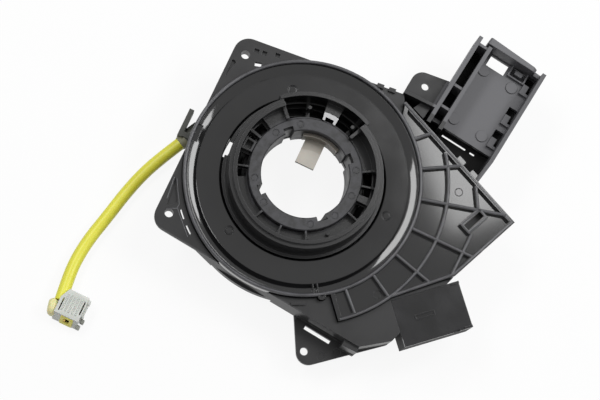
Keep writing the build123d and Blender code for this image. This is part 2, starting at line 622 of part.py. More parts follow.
def module_tray():
    """Open tray for a plug-in module, with a double left wall, and the deep well at its foot."""
    inner_left = TRAY_LEFT + WALL + CHANNEL_W
    floor_low = TRAY_FLOOR_Z - PLATE_T
    right = TRAY_RIGHT - WALL
    deep = TRAY_SKIRT_Z + RIB_T
    body = tray_block(inner_left, TRAY_RIGHT, TRAY_FLOOR_START, TRAY_HIGH, floor_low, TRAY_FLOOR_Z)
    body += tray_block(TRAY_LEFT, inner_left + 0.5, TRAY_FLOOR_START, TRAY_HIGH - 4, TRAY_SKIRT_Z, deep)
    body += tray_block(TRAY_LEFT, TRAY_LEFT + WALL, TRAY_LOW, TRAY_HIGH - 1, TRAY_SKIRT_Z, TRAY_WALL_TOP)
    body += tray_block(inner_left, inner_left + WALL, TRAY_LOW, TRAY_HIGH - 3, TRAY_SKIRT_Z, TRAY_WALL_TOP)
    body += tray_block(right, TRAY_RIGHT, TRAY_LOW, TRAY_HIGH, WELL_Z, TRAY_WALL_TOP)
    body += tray_block(inner_left, right, TRAY_HIGH - WALL, TRAY_HIGH, floor_low, TRAY_FLOOR_Z + WALL)
    for v in (10.9, 23.3, 47.5):
        web = TRAY_LOW + v
        body += tray_block(TRAY_LEFT, inner_left + 0.5, web - 0.7, web + 0.7,
                           TRAY_SKIRT_Z, TRAY_WALL_TOP - 1)
    for v in (16.1, 29.6, 47.6):
        low_side, high_side = TRAY_LOW + v - PIT_W / 2, TRAY_LOW + v + PIT_W / 2
        ledge = low_side - 5.4
        left = right - PIT_W + 0.3
        body += tray_block(left, right + 0.5, ledge, low_side, floor_low, TRAY_FLOOR_Z + WALL)
        body += tray_block(left - RIB_T, right + 0.5, ledge, high_side + RIB_T, TRAY_SKIRT_Z, TRAY_FLOOR_Z)
        body -= tray_block(left, right, low_side, high_side, deep, TRAY_FLOOR_Z + PLATE_T)
        body -= tray_block(right - RIB_T, right, ledge + RIB_T, high_side, deep, TRAY_WALL_TOP)
    for u in (11.2, 27.1):
        for v in (11.6, 40.6):
            x, y = tray_xy(TRAY_LEFT + u, TRAY_LOW + v)
            body += post(x, y, PAD_R, TRAY_FLOOR_Z - 0.5, TRAY_FLOOR_Z + PAD_RISE)
    window, end = TRAY_LEFT + 10.5, TRAY_HIGH - 2.5
    body -= tray_block(window, window + WINDOW_L, end - WINDOW_W, end, 0, TRAY_WALL_TOP)
    body -= tray_block(window + WINDOW_L + 1.8, window + WINDOW_L + 10.3, end - WINDOW_W + 1.5, end,
                       TRAY_FLOOR_Z - 1.2, TRAY_WALL_TOP)
    return body + well()


def well():
    """Deep triangular well between the tray's foot and the fan, with slits in its bottom."""
    foot = TRAY_FLOOR_START + WALL
    near, far = TRAY_LEFT + 6.8, WELL_END_X
    right_foot = tray_xy(TRAY_RIGHT, TRAY_LOW)
    corners = [
        (near, fan_edge(near) - 1, 0), (far, fan_edge(far) - 1, 0), (*right_foot, 0),
        (*tray_xy(TRAY_RIGHT, foot), 0), (*tray_xy(TRAY_LEFT, foot), 0), (*tray_xy(TRAY_LEFT, TRAY_LOW), 0),
    ]
    body = prism(corners, WELL_Z, WELL_Z + RIB_T)
    body += tray_block(TRAY_LEFT, TRAY_RIGHT, TRAY_FLOOR_START, foot, WELL_Z, TRAY_FLOOR_Z)
    start, end = (far - 0.9, fan_edge(far) - 0.6), (right_foot[0] - 0.9, right_foot[1] + 0.6)
    body += wall_between(start, end, WALL, WELL_Z, TRAY_WALL_TOP)
    slit = TRAY_FLOOR_START - 2.2
    for u, length in ((10.8, 13.5), (26.8, 2.6)):
        body -= tray_block(TRAY_LEFT + u, TRAY_LEFT + u + length, slit, slit + 1.2, 0, WELL_Z + 5)
    return body


def ear_pocket():
    """Walled pocket between the upper screw ear and the fan, with a small closed box in it."""
    foot = tray_xy(TRAY_LEFT + 1, TRAY_LOW + 8.6)
    near = FAN_START_X - 2.5
    start = (near, side_y(near) + 1.0)
    corners = [
        (near, side_y(near) - WALL, 0), (FAN_START_X, fan_edge(FAN_START_X) - 1, 0),
        (TRAY_LEFT + 6.8, fan_edge(TRAY_LEFT + 6.8) - 1, 0), (*tray_xy(TRAY_LEFT + 1, TRAY_LOW), 0),
        (*foot, 0), (*start, 0),
    ]
    body = prism(corners, PLATE_LOW, PLATE_TOP)
    body += wall_between(start, foot, RIB_T, LOW_EAR_TOP - LOW_EAR_T, TRAY_WALL_TOP)
    x, y = LOW_EAR_X, LOW_EAR_Y
    closed_box = [(x - 1.8, y - 17.0, 0), (x + 4.7, y - 19.7, 0), (x + 6.0, y - 12.0, 0),
                  (x + 0.7, y - 12.5, 0)]
    return body + prism(closed_box, PLATE_TOP - 0.5, COVER_SEAT)


def flange_details():
    """Recesses and slots in the column-side face of the case round the two rear ears."""
    x, y = REAR_EAR_X, REAR_EAR_Y
    deep, over = FLANGE_TOP - RIB_T, FLANGE_TOP + 1
    cuts = prism([(x - 4.6, 16.9 - y, 0), (x + 1.6, 6.3 - y, 0.8), (x - 2.7, 2.3 - y, 0.8)], deep, over)
    cuts += prism([(x - 4.4, y - 13.9, 0), (x - 2.4, y - 5.3, 0.6), (x - 4.7, y - 4.5, 0.6)], deep, over)
    for start, sweep in ((-139.8, 4.7), (-132.1, 4.5)):
        cuts += sector(RUN_R + 2.1, RUN_R + 1.3, start, sweep, PLATE_LOW, over)
    cuts += block(x + 7.5, y - 1.7, 3.3, 2.0, 17, PLATE_LOW, over)
    for along, out in ((4.1, 4.1), (7.9, 4.7), (14.0, 6.5)):
        cuts += block(x + along, y + out, 2.4, WALL, SIDE_SLOPE, deep, over)
    return cuts


def side_details():
    """Latch bar and snap bumps that stand on the case along its two slanted sides."""
    x = 22.9
    bar = block(x, 2.8 - side_y(x), 6.6, 1.5, 26, FLANGE_TOP - 0.5, FLANGE_TOP + 1.2)
    for x in (15.0, 21.0):
        bar += block(x, side_y(x) - 0.4, 3.4, WALL, SIDE_SLOPE, FLANGE_TOP - FLANGE_T, RIM_TOP - RIB_T)
    return bar


def ear_clearance():
    """Room under the two rear ears, which are plates with nothing below, up to the skirt's slanted end."""
    left, top = -SIDE_X - 5, FLANGE_TOP - FLANGE_T
    corners = [(left, 0), (SKIRT_SLANT - SKIRT_START, 0), (SKIRT_SLANT - SKIRT_START, SKIRT_LOW),
               (-SKIRT_START, top), (left, top)]
    face = Plane.XZ * make_face(Polyline(*corners, close=True))
    return extrude(face, side_y(CASE_END_X), both=True)


def stator_case():
    """One moulding: ring wall, floor plate, skirt walls, flange with two ears, low ears and tray."""
    inside = offset(case_plan(), -WALL, kind=Kind.INTERSECTION)
    body = Pos(0, 0, SKIRT_LOW) * extrude(case_plan() - inside, FLANGE_TOP - SKIRT_LOW)
    body += Pos(0, 0, PLATE_LOW) * extrude(case_plan(), PLATE_T)
    body -= ear_clearance()
    body += Pos(0, 0, FLANGE_TOP - FLANGE_T) * extrude(case_plan(), FLANGE_T)
    body += ring(RING_WALL_R, RING_WALL_IN_R, DISC_TOP + TURN_GAP, COVER_SEAT)
    boss_low = FLANGE_TOP - BOSS_L
    for side in (-1, 1):
        body += post(REAR_EAR_X, side * REAR_EAR_Y, REAR_HOLE_R + WALL, boss_low, FLANGE_TOP)
        body += spoke(RING_WALL_R - 0.5, BEAD_R + 8, RIB_T, side * 142.5, boss_low, FLANGE_TOP - 1)
    body -= flange_details()
    body += side_details() + low_ears() + module_tray() + ear_pocket()
    body -= ring(RUN_R, RING_WALL_R, 0, PLATE_LOW)
    body -= post(0, 0, RUN_R, 0, DISC_TOP + TURN_GAP)
    body -= post(0, 0, RING_WALL_IN_R, 0, ABOVE_ALL)
    body -= post(0, 0, COVER_R, COVER_SEAT, ABOVE_ALL)
    body -= fan_prism(3 * SEAT_GAP, COVER_SEAT, ABOVE_ALL)
    body -= snap_teeth(3 * SEAT_GAP)
    boss_x, boss_y = polar(BEAD_R, CLIP_BOSS_ANGLE)
    body -= post(boss_x, boss_y, 1.9 + 3 * SEAT_GAP, COVER_SEAT, ABOVE_ALL)
    for side in (-1, 1):
        body -= post(REAR_EAR_X, side * REAR_EAR_Y, REAR_HOLE_R, 0, ABOVE_ALL)
    body -= harness_space(SEAT_GAP) + harness_foot(SEAT_GAP)
    body -= block_space(SEAT_GAP)
    return body


def block_space(gap):
    """Room of the outer terminal block, from the ribbon's end through the ring wall."""
    x_low = RIBBON_OUTER_R - RIBBON_T
    x_high = RING_WALL_R + BLOCK_OUT
    size = Rectangle(x_high - x_low + 2 * gap, BLOCK_W + 2 * gap)
    return Pos((x_low + x_high) / 2, 0, PLATE_TOP - gap / 10) * extrude(size, BLOCK_H + gap)


def terminal_block():
    return block_space(0)


def bus_bars():
    """Flat brass strips that lead from the ribbon's end round the ring wall to the connector's foot."""
    bars = []
    for k in range(BAR_COUNT):
        inner = RING_WALL_R + 1.2 + k * BAR_PITCH
        start = -math.degrees(math.asin((BLOCK_W / 2 + 2 * SEAT_GAP) / inner))
        bars.append(sector(inner + BAR_W, inner, start - BAR_SWEEP, BAR_SWEEP, PLATE_TOP, PLATE_TOP + BAR_T))
    return [bar - harness_foot(SEAT_GAP) for bar in bars]


def harness_foot(gap):
    """Foot of the harness connector, under the flange, that the brass strips run into."""
    size = Rectangle(FOOT_L + 2 * gap, FOOT_W + 2 * gap)
    return harness_frame() * Pos(-(PLUG_IN_L + FOOT_L) / 2, 2.5, PLATE_TOP) * extrude(size, FOOT_H)


def harness_connector():
    """Socket housing for the car's harness, with its mouth at local +X and a foot under the flange."""
    half, side = PLUG_IN_L / 2, PLUG_IN_W / 2
    body = Pos(0, 0, PLUG_IN_LOW) * extrude(Rectangle(PLUG_IN_L, PLUG_IN_W), PLUG_IN_HIGH - PLUG_IN_LOW)
    cavity = Rectangle(PLUG_IN_DEPTH, PLUG_IN_W - 2 * PLUG_IN_WALL)
    height = PLUG_IN_HIGH - PLUG_IN_LOW - 2 * PLUG_IN_WALL
    body -= Pos(half - PLUG_IN_DEPTH / 2, 0, PLUG_IN_LOW + PLUG_IN_WALL) * extrude(cavity, height)
    for y in (-side + 0.6, side - 0.6):
        body += Pos(half - WALL, y, PLUG_IN_HIGH) * extrude(Rectangle(2 * WALL, 1.2), 0.8)
    latch = Rectangle(LATCH_L, LATCH_W) - Rectangle(LATCH_L - 1.2, LATCH_W - 1.2)
    body += Pos(-3.5, 0.5, PLUG_IN_HIGH) * extrude(latch, 0.5)
    body -= Pos(half - 8, -side, PLUG_IN_HIGH - RIB_T) * extrude(Rectangle(3, 1.6), 3)
    for k in range(PIN_COLUMNS * PIN_ROWS):
        body -= pin(k, SEAT_GAP / 5)
    return harness_frame() * body + harness_foot(0)


def pin(index, gap):
    """One contact pin, in the connector's own frame."""
    column, row = index % PIN_COLUMNS, index // PIN_COLUMNS
    y = (column - (PIN_COLUMNS - 1) / 2) * PIN_PITCH
    z = (PLUG_IN_LOW + PLUG_IN_HIGH) / 2 + (row - (PIN_ROWS - 1) / 2) * PIN_PITCH * 1.6
    x = PLUG_IN_L / 2 - PLUG_IN_DEPTH + WALL
    width = PIN_W + 2 * gap
    return Pos(x - gap, y, z - width / 2) * extrude(Rectangle(PIN_L, width), width)


def harness_pins():
    return [harness_frame() * pin(k, 0) for k in range(PIN_COLUMNS * PIN_ROWS)]


def wheel_connector():
    """Socket on the wheel side, open downwards, that the switch loom of the wheel plugs into."""
    body = Pos(0, SOCKET_Y, 0) * extrude(Rectangle(SOCKET_W, SOCKET_D), STAND_OFF)
    inside = Rectangle(SOCKET_W - 2 * SOCKET_WALL, SOCKET_D - 2 * SOCKET_WALL)
    body -= Pos(0, SOCKET_Y, -1) * extrude(inside, SOCKET_DEPTH + 1)
    body -= Pos(0, SOCKET_Y - SOCKET_D / 2, -1) * extrude(Rectangle(6, 2 * SOCKET_WALL), 6)
    return body


def wheel_pins():
    pins = []
    low = SOCKET_DEPTH - 6
    for k in range(6):
        x = (k - 2.5) * WHEEL_PIN_PITCH
        for y in (SOCKET_Y - WHEEL_PIN_ROWS / 2, SOCKET_Y + WHEEL_PIN_ROWS / 2):
            pins.append(Pos(x, y, low) * extrude(Rectangle(PIN_W, PIN_W), SOCKET_DEPTH - low))
    return pins


def lead_clip():
    """Strain relief at the rotor's edge: a foot on the disc, the lead's boss and a free side arm."""
    exit_point = Vector(*LEAD_EXIT)
    way = Vector(*LEAD_RUN[0]).normalized()
    boss_l = 9.0
    boss = Plane(exit_point - way * boss_l, z_dir=way) * extrude(Circle(LEAD_D / 2 + 1.1), boss_l)
    arm = block(LEAD_X - 3.2, LEAD_Y + 6.8, CLIP_ARM_T, CLIP_ARM_L, 0, CLIP_LOW, CLIP_HIGH)
    link = block(LEAD_X - 0.2, LEAD_Y + 1.2, 8.4, 2.6, 0, CLIP_LOW, CLIP_HIGH)
    lead = Plane(exit_point - way, z_dir=way) * extrude(Circle(LEAD_D / 2 + 2 * SEAT_GAP), boss_l)
    return clip_foot(0) + boss + (link + arm - lead)


def lead_path():
    """Straight runs joined by arcs as large as the runs allow."""
    radii = []
    for before, here, after in zip(LEAD_ROUTE, LEAD_ROUTE[1:], LEAD_ROUTE[2:]):
        way_in, way_out = Vector(*here) - Vector(*before), Vector(*after) - Vector(*here)
        half_turn = math.radians(way_in.get_angle(way_out)) / 2
        radii.append(0.45 * min(way_in.length, way_out.length) / math.tan(half_turn))
    print("lead radii", [round(radius, 1) for radius in radii])
    return FilletPolyline(*LEAD_ROUTE, radius=radii)


def lead_sleeve():
    path = lead_path()
    tube = sweep(Plane(path @ 0, z_dir=path % 0) * Circle(LEAD_D / 2), path)
    print("lead length", round(path.length, 1), "volume", round(tube.volume),
          "expected", round(math.pi * LEAD_D ** 2 / 4 * path.length))
    return tube


def plug_frame():
    x, y, _ = LEAD_ROUTE[-1]
    return Pos(x + PLUG_OUT_X, y + PLUG_OUT_Y, 0) * Rot(0, 0, PLUG_TURN)


def squib_plug():
    """Low plug for the airbag's igniter: stepped body, two side latches and the sleeve's socket."""
    body = extrude(Rectangle(PLUG_W, PLUG_L), PLUG_H)
    body = chamfer(body.edges().filter_by(Axis.Z), 1.0)
    body = chamfer(body.edges().group_by(Axis.Z)[-1], 0.6)
    latch_h = PLUG_H - 4
    for side in (-1, 1):
        body += Pos(side * (PLUG_W / 2 + 1.6), -1.0, 2.0) * extrude(Rectangle(1.4, 9.5), latch_h)
        body += Pos(side * (PLUG_W / 2 + 0.6), 3.0, 2.0) * extrude(Rectangle(2.2, 1.6), latch_h)
    mouth = Rectangle(PLUG_W - 2 * PLUG_WALL - SEAT_GAP * 2, 8.0)
    body -= Pos(0, -PLUG_L / 2 + 3.5, PLUG_WALL) * extrude(mouth, PLUG_H - 2 * PLUG_WALL)
    end = Vector(*LEAD_ROUTE[-1])
    way = (end - Vector(*LEAD_ROUTE[-2])).normalized()
    return plug_frame() * body + Plane(end, z_dir=way) * extrude(Circle(LEAD_D / 2 + 0.9), 3.4)


def plug_lock():
    """Yellow insert in the plug's mouth, with the square hole that the igniter's socket enters."""
    low = PLUG_WALL + 2 * SEAT_GAP
    size = Rectangle(PLUG_W - 2 * low - 2 * SEAT_GAP, 10.4)
    lock = Pos(0, -PLUG_L / 2 + 1.9, low) * extrude(size, PLUG_H - 2 * low)
    bore = Pos(0, -PLUG_L / 2 - 4, PLUG_H / 2 - 1.7) * extrude(Rectangle(3.4, 8.0), 3.4)
    return plug_frame() * (lock - bore)


def squib_contacts():
    return [plug_frame() * Pos(x, -PLUG_L / 2 - 0.6, PLUG_H / 2 - 0.4) * extrude(Rectangle(0.8, 1.0), 0.8)
            for x in (-0.8, 0.8)]


def plug_cover():
    """Pale cap with a round lobe, clipped to the plug's side."""
    lobe = Pos(-PLUG_W / 2 - 4.8, -2.4, 0.4) * extrude(Circle(2.4), PLUG_H - 1.6)
    neck = Pos(-PLUG_W / 2 - 3.4, -1.6, 3.0) * extrude(Rectangle(2.2, 3.0), 3.0)
    return plug_frame() * (lobe + neck)


def save(name, shape):
    """Write one node, from one solid or from a list of like ones."""
    if isinstance(shape, list):
        shape = Compound(children=[solid for item in shape for solid in item.solids()])
    export_step(shape, f"parts/{name}.step")


def main():
    for piece in (
        stator_case, rear_cover, harness_connector, harness_pins, terminal_block, bus_bars, ribbon_cable,
        rear_film, rotor_case, hub_ring, transit_lock, inner_terminal, front_film, wheel_connector,
        wheel_pins, lead_clip, lead_sleeve, squib_plug, plug_lock, squib_contacts, plug_cover,
    ):
        save(piece.__name__, piece())


main()
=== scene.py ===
"""Looks of a steering clock spring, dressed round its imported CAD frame.

The fixed half is a black case with a ribbed fan cover, a module tray and a harness connector. The
turning half is the drum with its hub, the yellow airbag lead and the lead's plug. All sizes are in
millimetres, and a piece is turned into the frame's metres as it is made.
"""

import json
import logging
import math
from dataclasses import dataclass
from enum import Enum
from typing import Any, Iterable, Sequence

import bmesh
import bpy
from mathutils import Matrix, Vector

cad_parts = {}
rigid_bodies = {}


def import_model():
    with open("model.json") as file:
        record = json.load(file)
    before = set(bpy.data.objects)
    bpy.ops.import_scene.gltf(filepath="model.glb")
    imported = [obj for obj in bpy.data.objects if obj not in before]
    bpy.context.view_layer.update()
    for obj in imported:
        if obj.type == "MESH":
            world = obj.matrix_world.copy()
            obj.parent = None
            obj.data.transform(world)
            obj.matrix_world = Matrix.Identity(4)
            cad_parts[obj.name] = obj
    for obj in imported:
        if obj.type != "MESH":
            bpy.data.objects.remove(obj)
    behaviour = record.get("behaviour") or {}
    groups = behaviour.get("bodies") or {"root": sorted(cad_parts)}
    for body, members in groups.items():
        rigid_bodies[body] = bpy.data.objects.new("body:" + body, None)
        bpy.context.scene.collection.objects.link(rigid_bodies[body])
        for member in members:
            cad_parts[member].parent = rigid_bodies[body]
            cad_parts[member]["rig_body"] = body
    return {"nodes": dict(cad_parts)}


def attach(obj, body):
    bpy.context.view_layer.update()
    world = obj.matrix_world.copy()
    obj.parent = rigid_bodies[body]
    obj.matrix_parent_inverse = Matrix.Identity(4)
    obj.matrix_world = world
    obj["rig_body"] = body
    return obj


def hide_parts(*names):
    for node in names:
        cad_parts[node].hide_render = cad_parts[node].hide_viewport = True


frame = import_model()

LOG = logging.getLogger("clock_spring")
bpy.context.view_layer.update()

Point = tuple[float, float, float]
Plan = tuple[float, float]
Block = tuple[Plan, Plan, Plan]
Skin = Sequence[Sequence[Vector | Point]]
Tree = bpy.types.NodeTree
Socket = bpy.types.NodeSocket
Piece = bpy.types.Object
Shape = bmesh.types.BMesh

# Signs of a square's corners in the two directions across it.
SQUARE = ((1, 1), (-1, 1), (-1, -1), (1, -1))
UP: Point = (0.0, 0.0, 1.0)
DOWN: Point = (0.0, 0.0, -1.0)
# Both connectors have their pins in so many columns and rows.
PIN_COLUMNS, PIN_ROWS = 6, 2
# Vertices of a CAD mesh that lie within this distance in metres are one.
WELD = 2e-6
# Faces of a CAD mesh that meet at less than this angle in degrees are one before it is bevelled.
FLAT = 0.5


def metres(*values: float) -> Vector:
    """Turn millimetres into a vector in metres."""
    return Vector(value / 1000 for value in values)


def polar(radius: float, angle: float, height: float = 0.0) -> Point:
    """Give the point in millimetres at a radius, an angle in degrees and a height."""
    turn = math.radians(angle)
    return radius * math.cos(turn), radius * math.sin(turn), height


def linear(code: str) -> tuple[float, float, float, float]:
    """Turn an sRGB hex colour into linear red, green, blue and alpha.

    Args:
        code: The colour as six hex digits after a hash sign.

    Returns:
        The linear colour with an alpha of one.
    """
    channels = [int(code[i:i + 2], 16) / 255 for i in (1, 3, 5)]
    red, green, blue = (c / 12.92 if c <= 0.04045 else ((c + 0.055) / 1.055) ** 2.4 for c in channels)
    return red, green, blue, 1.0


def add_node(tree: Tree, kind: str, settings: dict[str, Any] | None = None,
             links: dict[Any, Any] | None = None) -> bpy.types.Node:
    """Add a node to a tree with its settings and links.

    Args:
        tree: The tree that gets the node.
        kind: The node's type name.
        settings: Properties of the node by name.
        links: Inputs by name or index, each a socket to link from or a plain value.

    Returns:
        The new node.
    """
    made = tree.nodes.new(kind)
    for name, value in (settings or {}).items():
        setattr(made, name, value)
    for name, value in (links or {}).items():
        if isinstance(value, Socket):
            tree.links.new(value, made.inputs[name])
        else:
            made.inputs[name].default_value = value
    return made


def bare_tree(owner: Any) -> Tree:
    """Give the emptied node tree of a material or a world.

    Args:
        owner: The material or world.

    Returns:
        Its tree.
    """
    owner.use_nodes = True
    owner.node_tree.nodes.clear()
    return owner.node_tree


def link(name: str, data: Any) -> Piece:
    """Add an object with its data to the scene.

    Args:
        name: Name of the object.
        data: Its data.

    Returns:
        The object.
    """
    made = bpy.data.objects.new(name, data)
    bpy.context.scene.collection.objects.link(made)
    return made


class Slot(Enum):
    """The record's material slots by name."""

    CASE = "case_plastic"
    COVER = "cover_plastic"
    CONNECTOR = "connector_plastic"
    ROTOR = "rotor_plastic"
    HUB = "hub_plastic"
    LOCK = "lock_plastic"
    CLIP = "clip_plastic"
    LEAD = "lead_yellow"
    PLUG = "plug_grey"
    INSERT = "plug_yellow"
    CAP = "plug_cream"
    PIN = "pin_metal"


class Body(Enum):
    """The two bodies that pieces ride on."""

    STATOR = "stator"
    ROTOR = "rotor"


@dataclass(frozen=True)
class Grain:
    """Surface grain of a moulding.

    Attributes:
        size: Width of one grain in millimetres.
        depth: Depth of the grain in millimetres.
        cloud: Width in millimetres of the slow changes in gloss and shade.
    """

    size: float = 0.6
    depth: float = 0.012
    cloud: float = 18.0


@dataclass(frozen=True)
class Zone:
    """Part of a moulding whose tool had another polish or texture.

    Attributes:
        shade: Colour there as sRGB hex.
        rough: Roughness there.
        grain: Share of the grain's depth that is left there.
        edges: Its bounds, each a direction and the distance in millimetres from which it lies that way.
            Without a direction, the distance is the one from the turning axis.
        soft: Half the width in millimetres over which it fades in.
    """

    shade: str
    rough: float
    grain: float
    edges: tuple[tuple[Point | None, float], ...]
    soft: float = 0.3

    def mask(self, tree: Tree, place: Socket) -> Socket | float:
        """Give the socket that is one inside the zone.

        Args:
            tree: The material's tree.
            place: The place on the piece.

        Returns:
            The mask's socket.
        """
        mask: Socket | float = 1.0
        for way, edge in self.edges:
            if way:
                length = add_node(tree, "ShaderNodeVectorMath", {"operation": "DOT_PRODUCT"}, {
                    0: place, 1: way})
            else:
                flat = add_node(tree, "ShaderNodeVectorMath", {"operation": "MULTIPLY"}, {
                    0: place, 1: (1, 1, 0)})
                length = add_node(tree, "ShaderNodeVectorMath", {"operation": "LENGTH"}, {0: flat.outputs[0]})
            step = add_node(tree, "ShaderNodeMapRange", links={
                "Value": length.outputs["Value"], "From Min": (edge - self.soft) / 1000,
                "From Max": (edge + self.soft) / 1000})
            mask = add_node(tree, "ShaderNodeMath", {"operation": "MINIMUM"}, {
                0: mask, 1: step.outputs[0]}).outputs[0]
        return mask


@dataclass(frozen=True)
class Finish:
    """A procedural material that is built when a piece first needs it.

    Attributes:
        name: Name of the material, for what the real one is.
        shade: Main colour as sRGB hex.
    """

    name: str
    shade: str

    def material(self) -> bpy.types.Material:
        """Build the material, or give the one that was built before.

        Returns:
            The material.
        """
        known = bpy.data.materials.get(self.name)
        if known:
            return known
        made = bpy.data.materials.new(self.name)
        tree = bare_tree(made)
        place = add_node(tree, "ShaderNodeTexCoord").outputs["Object"]
        add_node(tree, "ShaderNodeOutputMaterial", links={"Surface": self.shader(tree, place)})
        return made

    def shader(self, tree: Tree, place: Socket) -> Socket:
        """Build the finish from the place on the piece, and give its shader socket."""
        raise NotImplementedError


@dataclass(frozen=True)
class MouldedPlastic(Finish):
    """An opaque injection moulding with grain, slow changes of shade, and softly rounded edges painted
    lighter, partly as wear and partly as a highlight.

    Attributes:
        worn: Colour of its lighter clouds as sRGB hex.
        edge_wear_and_highlight: Colour of its edges as sRGB hex, partly wear and partly a painted highlight.
        rough: Lowest and highest roughness.
        grain: Surface grain.
        edge: Radius in millimetres that the light sees on sharp edges.
        ior: Index of refraction.
        specular: Specular level, where 0.5 is a full skin and less is a porous one.
        spread: Subsurface share, for pale translucent resin.
        zones: Parts with their own polish, each over the ones before it.
    """

    worn: str
    edge_wear_and_highlight: str
    rough: tuple[float, float]
    grain: Grain = Grain()
    edge: float = 0.3
    ior: float = 1.5
    specular: float = 0.5
    spread: float = 0.0
    zones: tuple[Zone, ...] = ()

    def shader(self, tree: Tree, place: Socket) -> Socket:
        """Build the clouds of shade and gloss, the zones, the lighter edges (partly wear, partly painted
        highlight) and the grain.

        Args:
            tree: The material's tree.
            place: The place on the piece.

        Returns:
            The shader's socket.
        """
        cloud = add_node(tree, "ShaderNodeTexNoise", links={
            "Vector": place, "Scale": 1000 / self.grain.cloud, "Detail": 3.0, "Roughness": 0.6})
        patch = add_node(tree, "ShaderNodeMapRange", links={
            "Value": cloud.outputs["Fac"], "From Min": 0.35, "From Max": 0.65}).outputs[0]
        colour = add_node(tree, "ShaderNodeMix", {"data_type": "RGBA"}, {
            0: patch, 6: linear(self.shade), 7: linear(self.worn)}).outputs[2]
        rough = add_node(tree, "ShaderNodeMapRange", links={
            "Value": patch, "To Min": self.rough[0], "To Max": self.rough[1]}).outputs[0]
        depth: Socket | float = 1.0
        for zone in self.zones:
            mask = zone.mask(tree, place)
            colour = add_node(tree, "ShaderNodeMix", {"data_type": "RGBA"}, {
                0: mask, 6: colour, 7: linear(zone.shade)}).outputs[2]
            rough = add_node(tree, "ShaderNodeMix", links={0: mask, 2: rough, 3: zone.rough}).outputs[0]
            depth = add_node(tree, "ShaderNodeMix", links={0: mask, 2: depth, 3: zone.grain}).outputs[0]
        soft = add_node(tree, "ShaderNodeBevel", {"samples": 4}, {"Radius": self.edge / 1000}).outputs[0]
        return add_node(tree, "ShaderNodeBsdfPrincipled", links={
            "Base Color": self.wear_and_light_edges(tree, colour, soft), "Roughness": rough, "IOR": self.ior,
            "Specular IOR Level": self.specular, "Normal": self.relief(tree, place, soft, depth),
            "Subsurface Weight": self.spread, "Subsurface Scale": 0.002}).outputs[0]

    def wear_and_light_edges(self, tree: Tree, colour: Socket, soft: Socket) -> Socket:
        """Mix the lighter edge colour in where the rounded normal leaves the true one, along the edges:
        partly wear, partly a painted highlight.

        Args:
            tree: The material's tree.
            colour: The plain colour.
            soft: The rounded normal.

        Returns:
            The mixed colour's socket.
        """
        true = add_node(tree, "ShaderNodeNewGeometry").outputs["True Normal"]
        match = add_node(tree, "ShaderNodeVectorMath", {"operation": "DOT_PRODUCT"}, {0: true, 1: soft})
        edge = add_node(tree, "ShaderNodeMapRange", links={
            "Value": match.outputs["Value"], "From Min": 0.99, "From Max": 0.86})
        # Painted edge highlight, partly wear: a lighter colour along the edges.
        mixed = add_node(tree, "ShaderNodeMix", {"data_type": "RGBA"}, {
            0: edge.outputs[0], 6: colour, 7: linear(self.edge_wear_and_highlight)})
        return mixed.outputs[2]

    def relief(self, tree: Tree, place: Socket, soft: Socket, depth: Socket | float) -> Socket:
        """Build the grain over the rounded edges, and give the normal socket.

        Args:
            tree: The material's tree.
            place: The place on the piece.
            soft: The rounded normal.
            depth: Share of the grain's depth.

        Returns:
            The normal's socket.
        """
        grain = add_node(tree, "ShaderNodeTexNoise", links={
            "Vector": place, "Scale": 1000 / self.grain.size, "Detail": 2.0})
        bump = add_node(tree, "ShaderNodeBump", links={
            "Height": grain.outputs["Fac"], "Distance": self.grain.depth / 1000, "Strength": depth,
            "Normal": soft})
        return bump.outputs[0]


@dataclass(frozen=True)
class StampedMetal(Finish):
    """Thin strip metal, stamped and plated, with fine rolling lines.

    Attributes:
        line: Distance between rolling lines in millimetres.
        rough: Roughness.
    """

    line: float = 0.3
    rough: float = 0.28

    def shader(self, tree: Tree, place: Socket) -> Socket:
        """Build the metal with its rolling lines along X.

        Args:
            tree: The material's tree.
            place: The place on the piece.

        Returns:
            The shader's socket.
        """
        stretched = add_node(tree, "ShaderNodeVectorMath", {"operation": "MULTIPLY"}, {
            0: place, 1: (0.05, 1, 1)})
        lines = add_node(tree, "ShaderNodeTexNoise", links={
            "Vector": stretched.outputs[0], "Scale": 1000 / self.line})
        rough = add_node(tree, "ShaderNodeMapRange", links={
            "Value": lines.outputs["Fac"], "To Min": self.rough - 0.08, "To Max": self.rough + 0.12})
        return add_node(tree, "ShaderNodeBsdfPrincipled", links={
            "Base Color": linear(self.shade), "Metallic": 1.0, "Roughness": rough.outputs[0]}).outputs[0]


# Black PBT, injection moulded in a spark-eroded tool: dull and nearly black. The tray and its right wall come
# from a coarser part of the tool, and are painted a lighter grey as the sheen the lamps give them; the deep
# floors between 14.3 and 19.4 mm up are painted near black as the shade in the well and the pits; and the
# long skirt wall is painted a lighter grey as a sheen.
CASE_BLACK = MouldedPlastic(
    "case_pbt_moulded_black", "#131314", "#1b1b1c", "#4c4c4e", (0.34, 0.46), specular=0.35,
    # Painted sheen: the tray floor and all beyond it get a lighter grey for the lamps' light on its coarse
    # texture.
    zones=(Zone("#5c5c5f", 0.46, 1.6, ((polar(1, -7.3), 34.0), (polar(1, 82.7), 60.9))),
           # Painted sheen: the tray's right wall, a lighter grey.
           Zone("#4e4e51", 0.46, 1.0, ((polar(1, -7.3), 70.8), (polar(1, 82.7), 44.0))),
           # Painted shade: the floors between 14.3 and 19.4 mm up go near black.
           Zone("#050505", 0.9, 1.0, ((UP, 14.3), (DOWN, -19.4))),
           # Painted sheen: the long skirt wall, a lighter grey.
           Zone("#3a3a3b", 0.5, 1.0, ((polar(1, 264.4), 55.6), (polar(1, 174.4), -31.5)))))
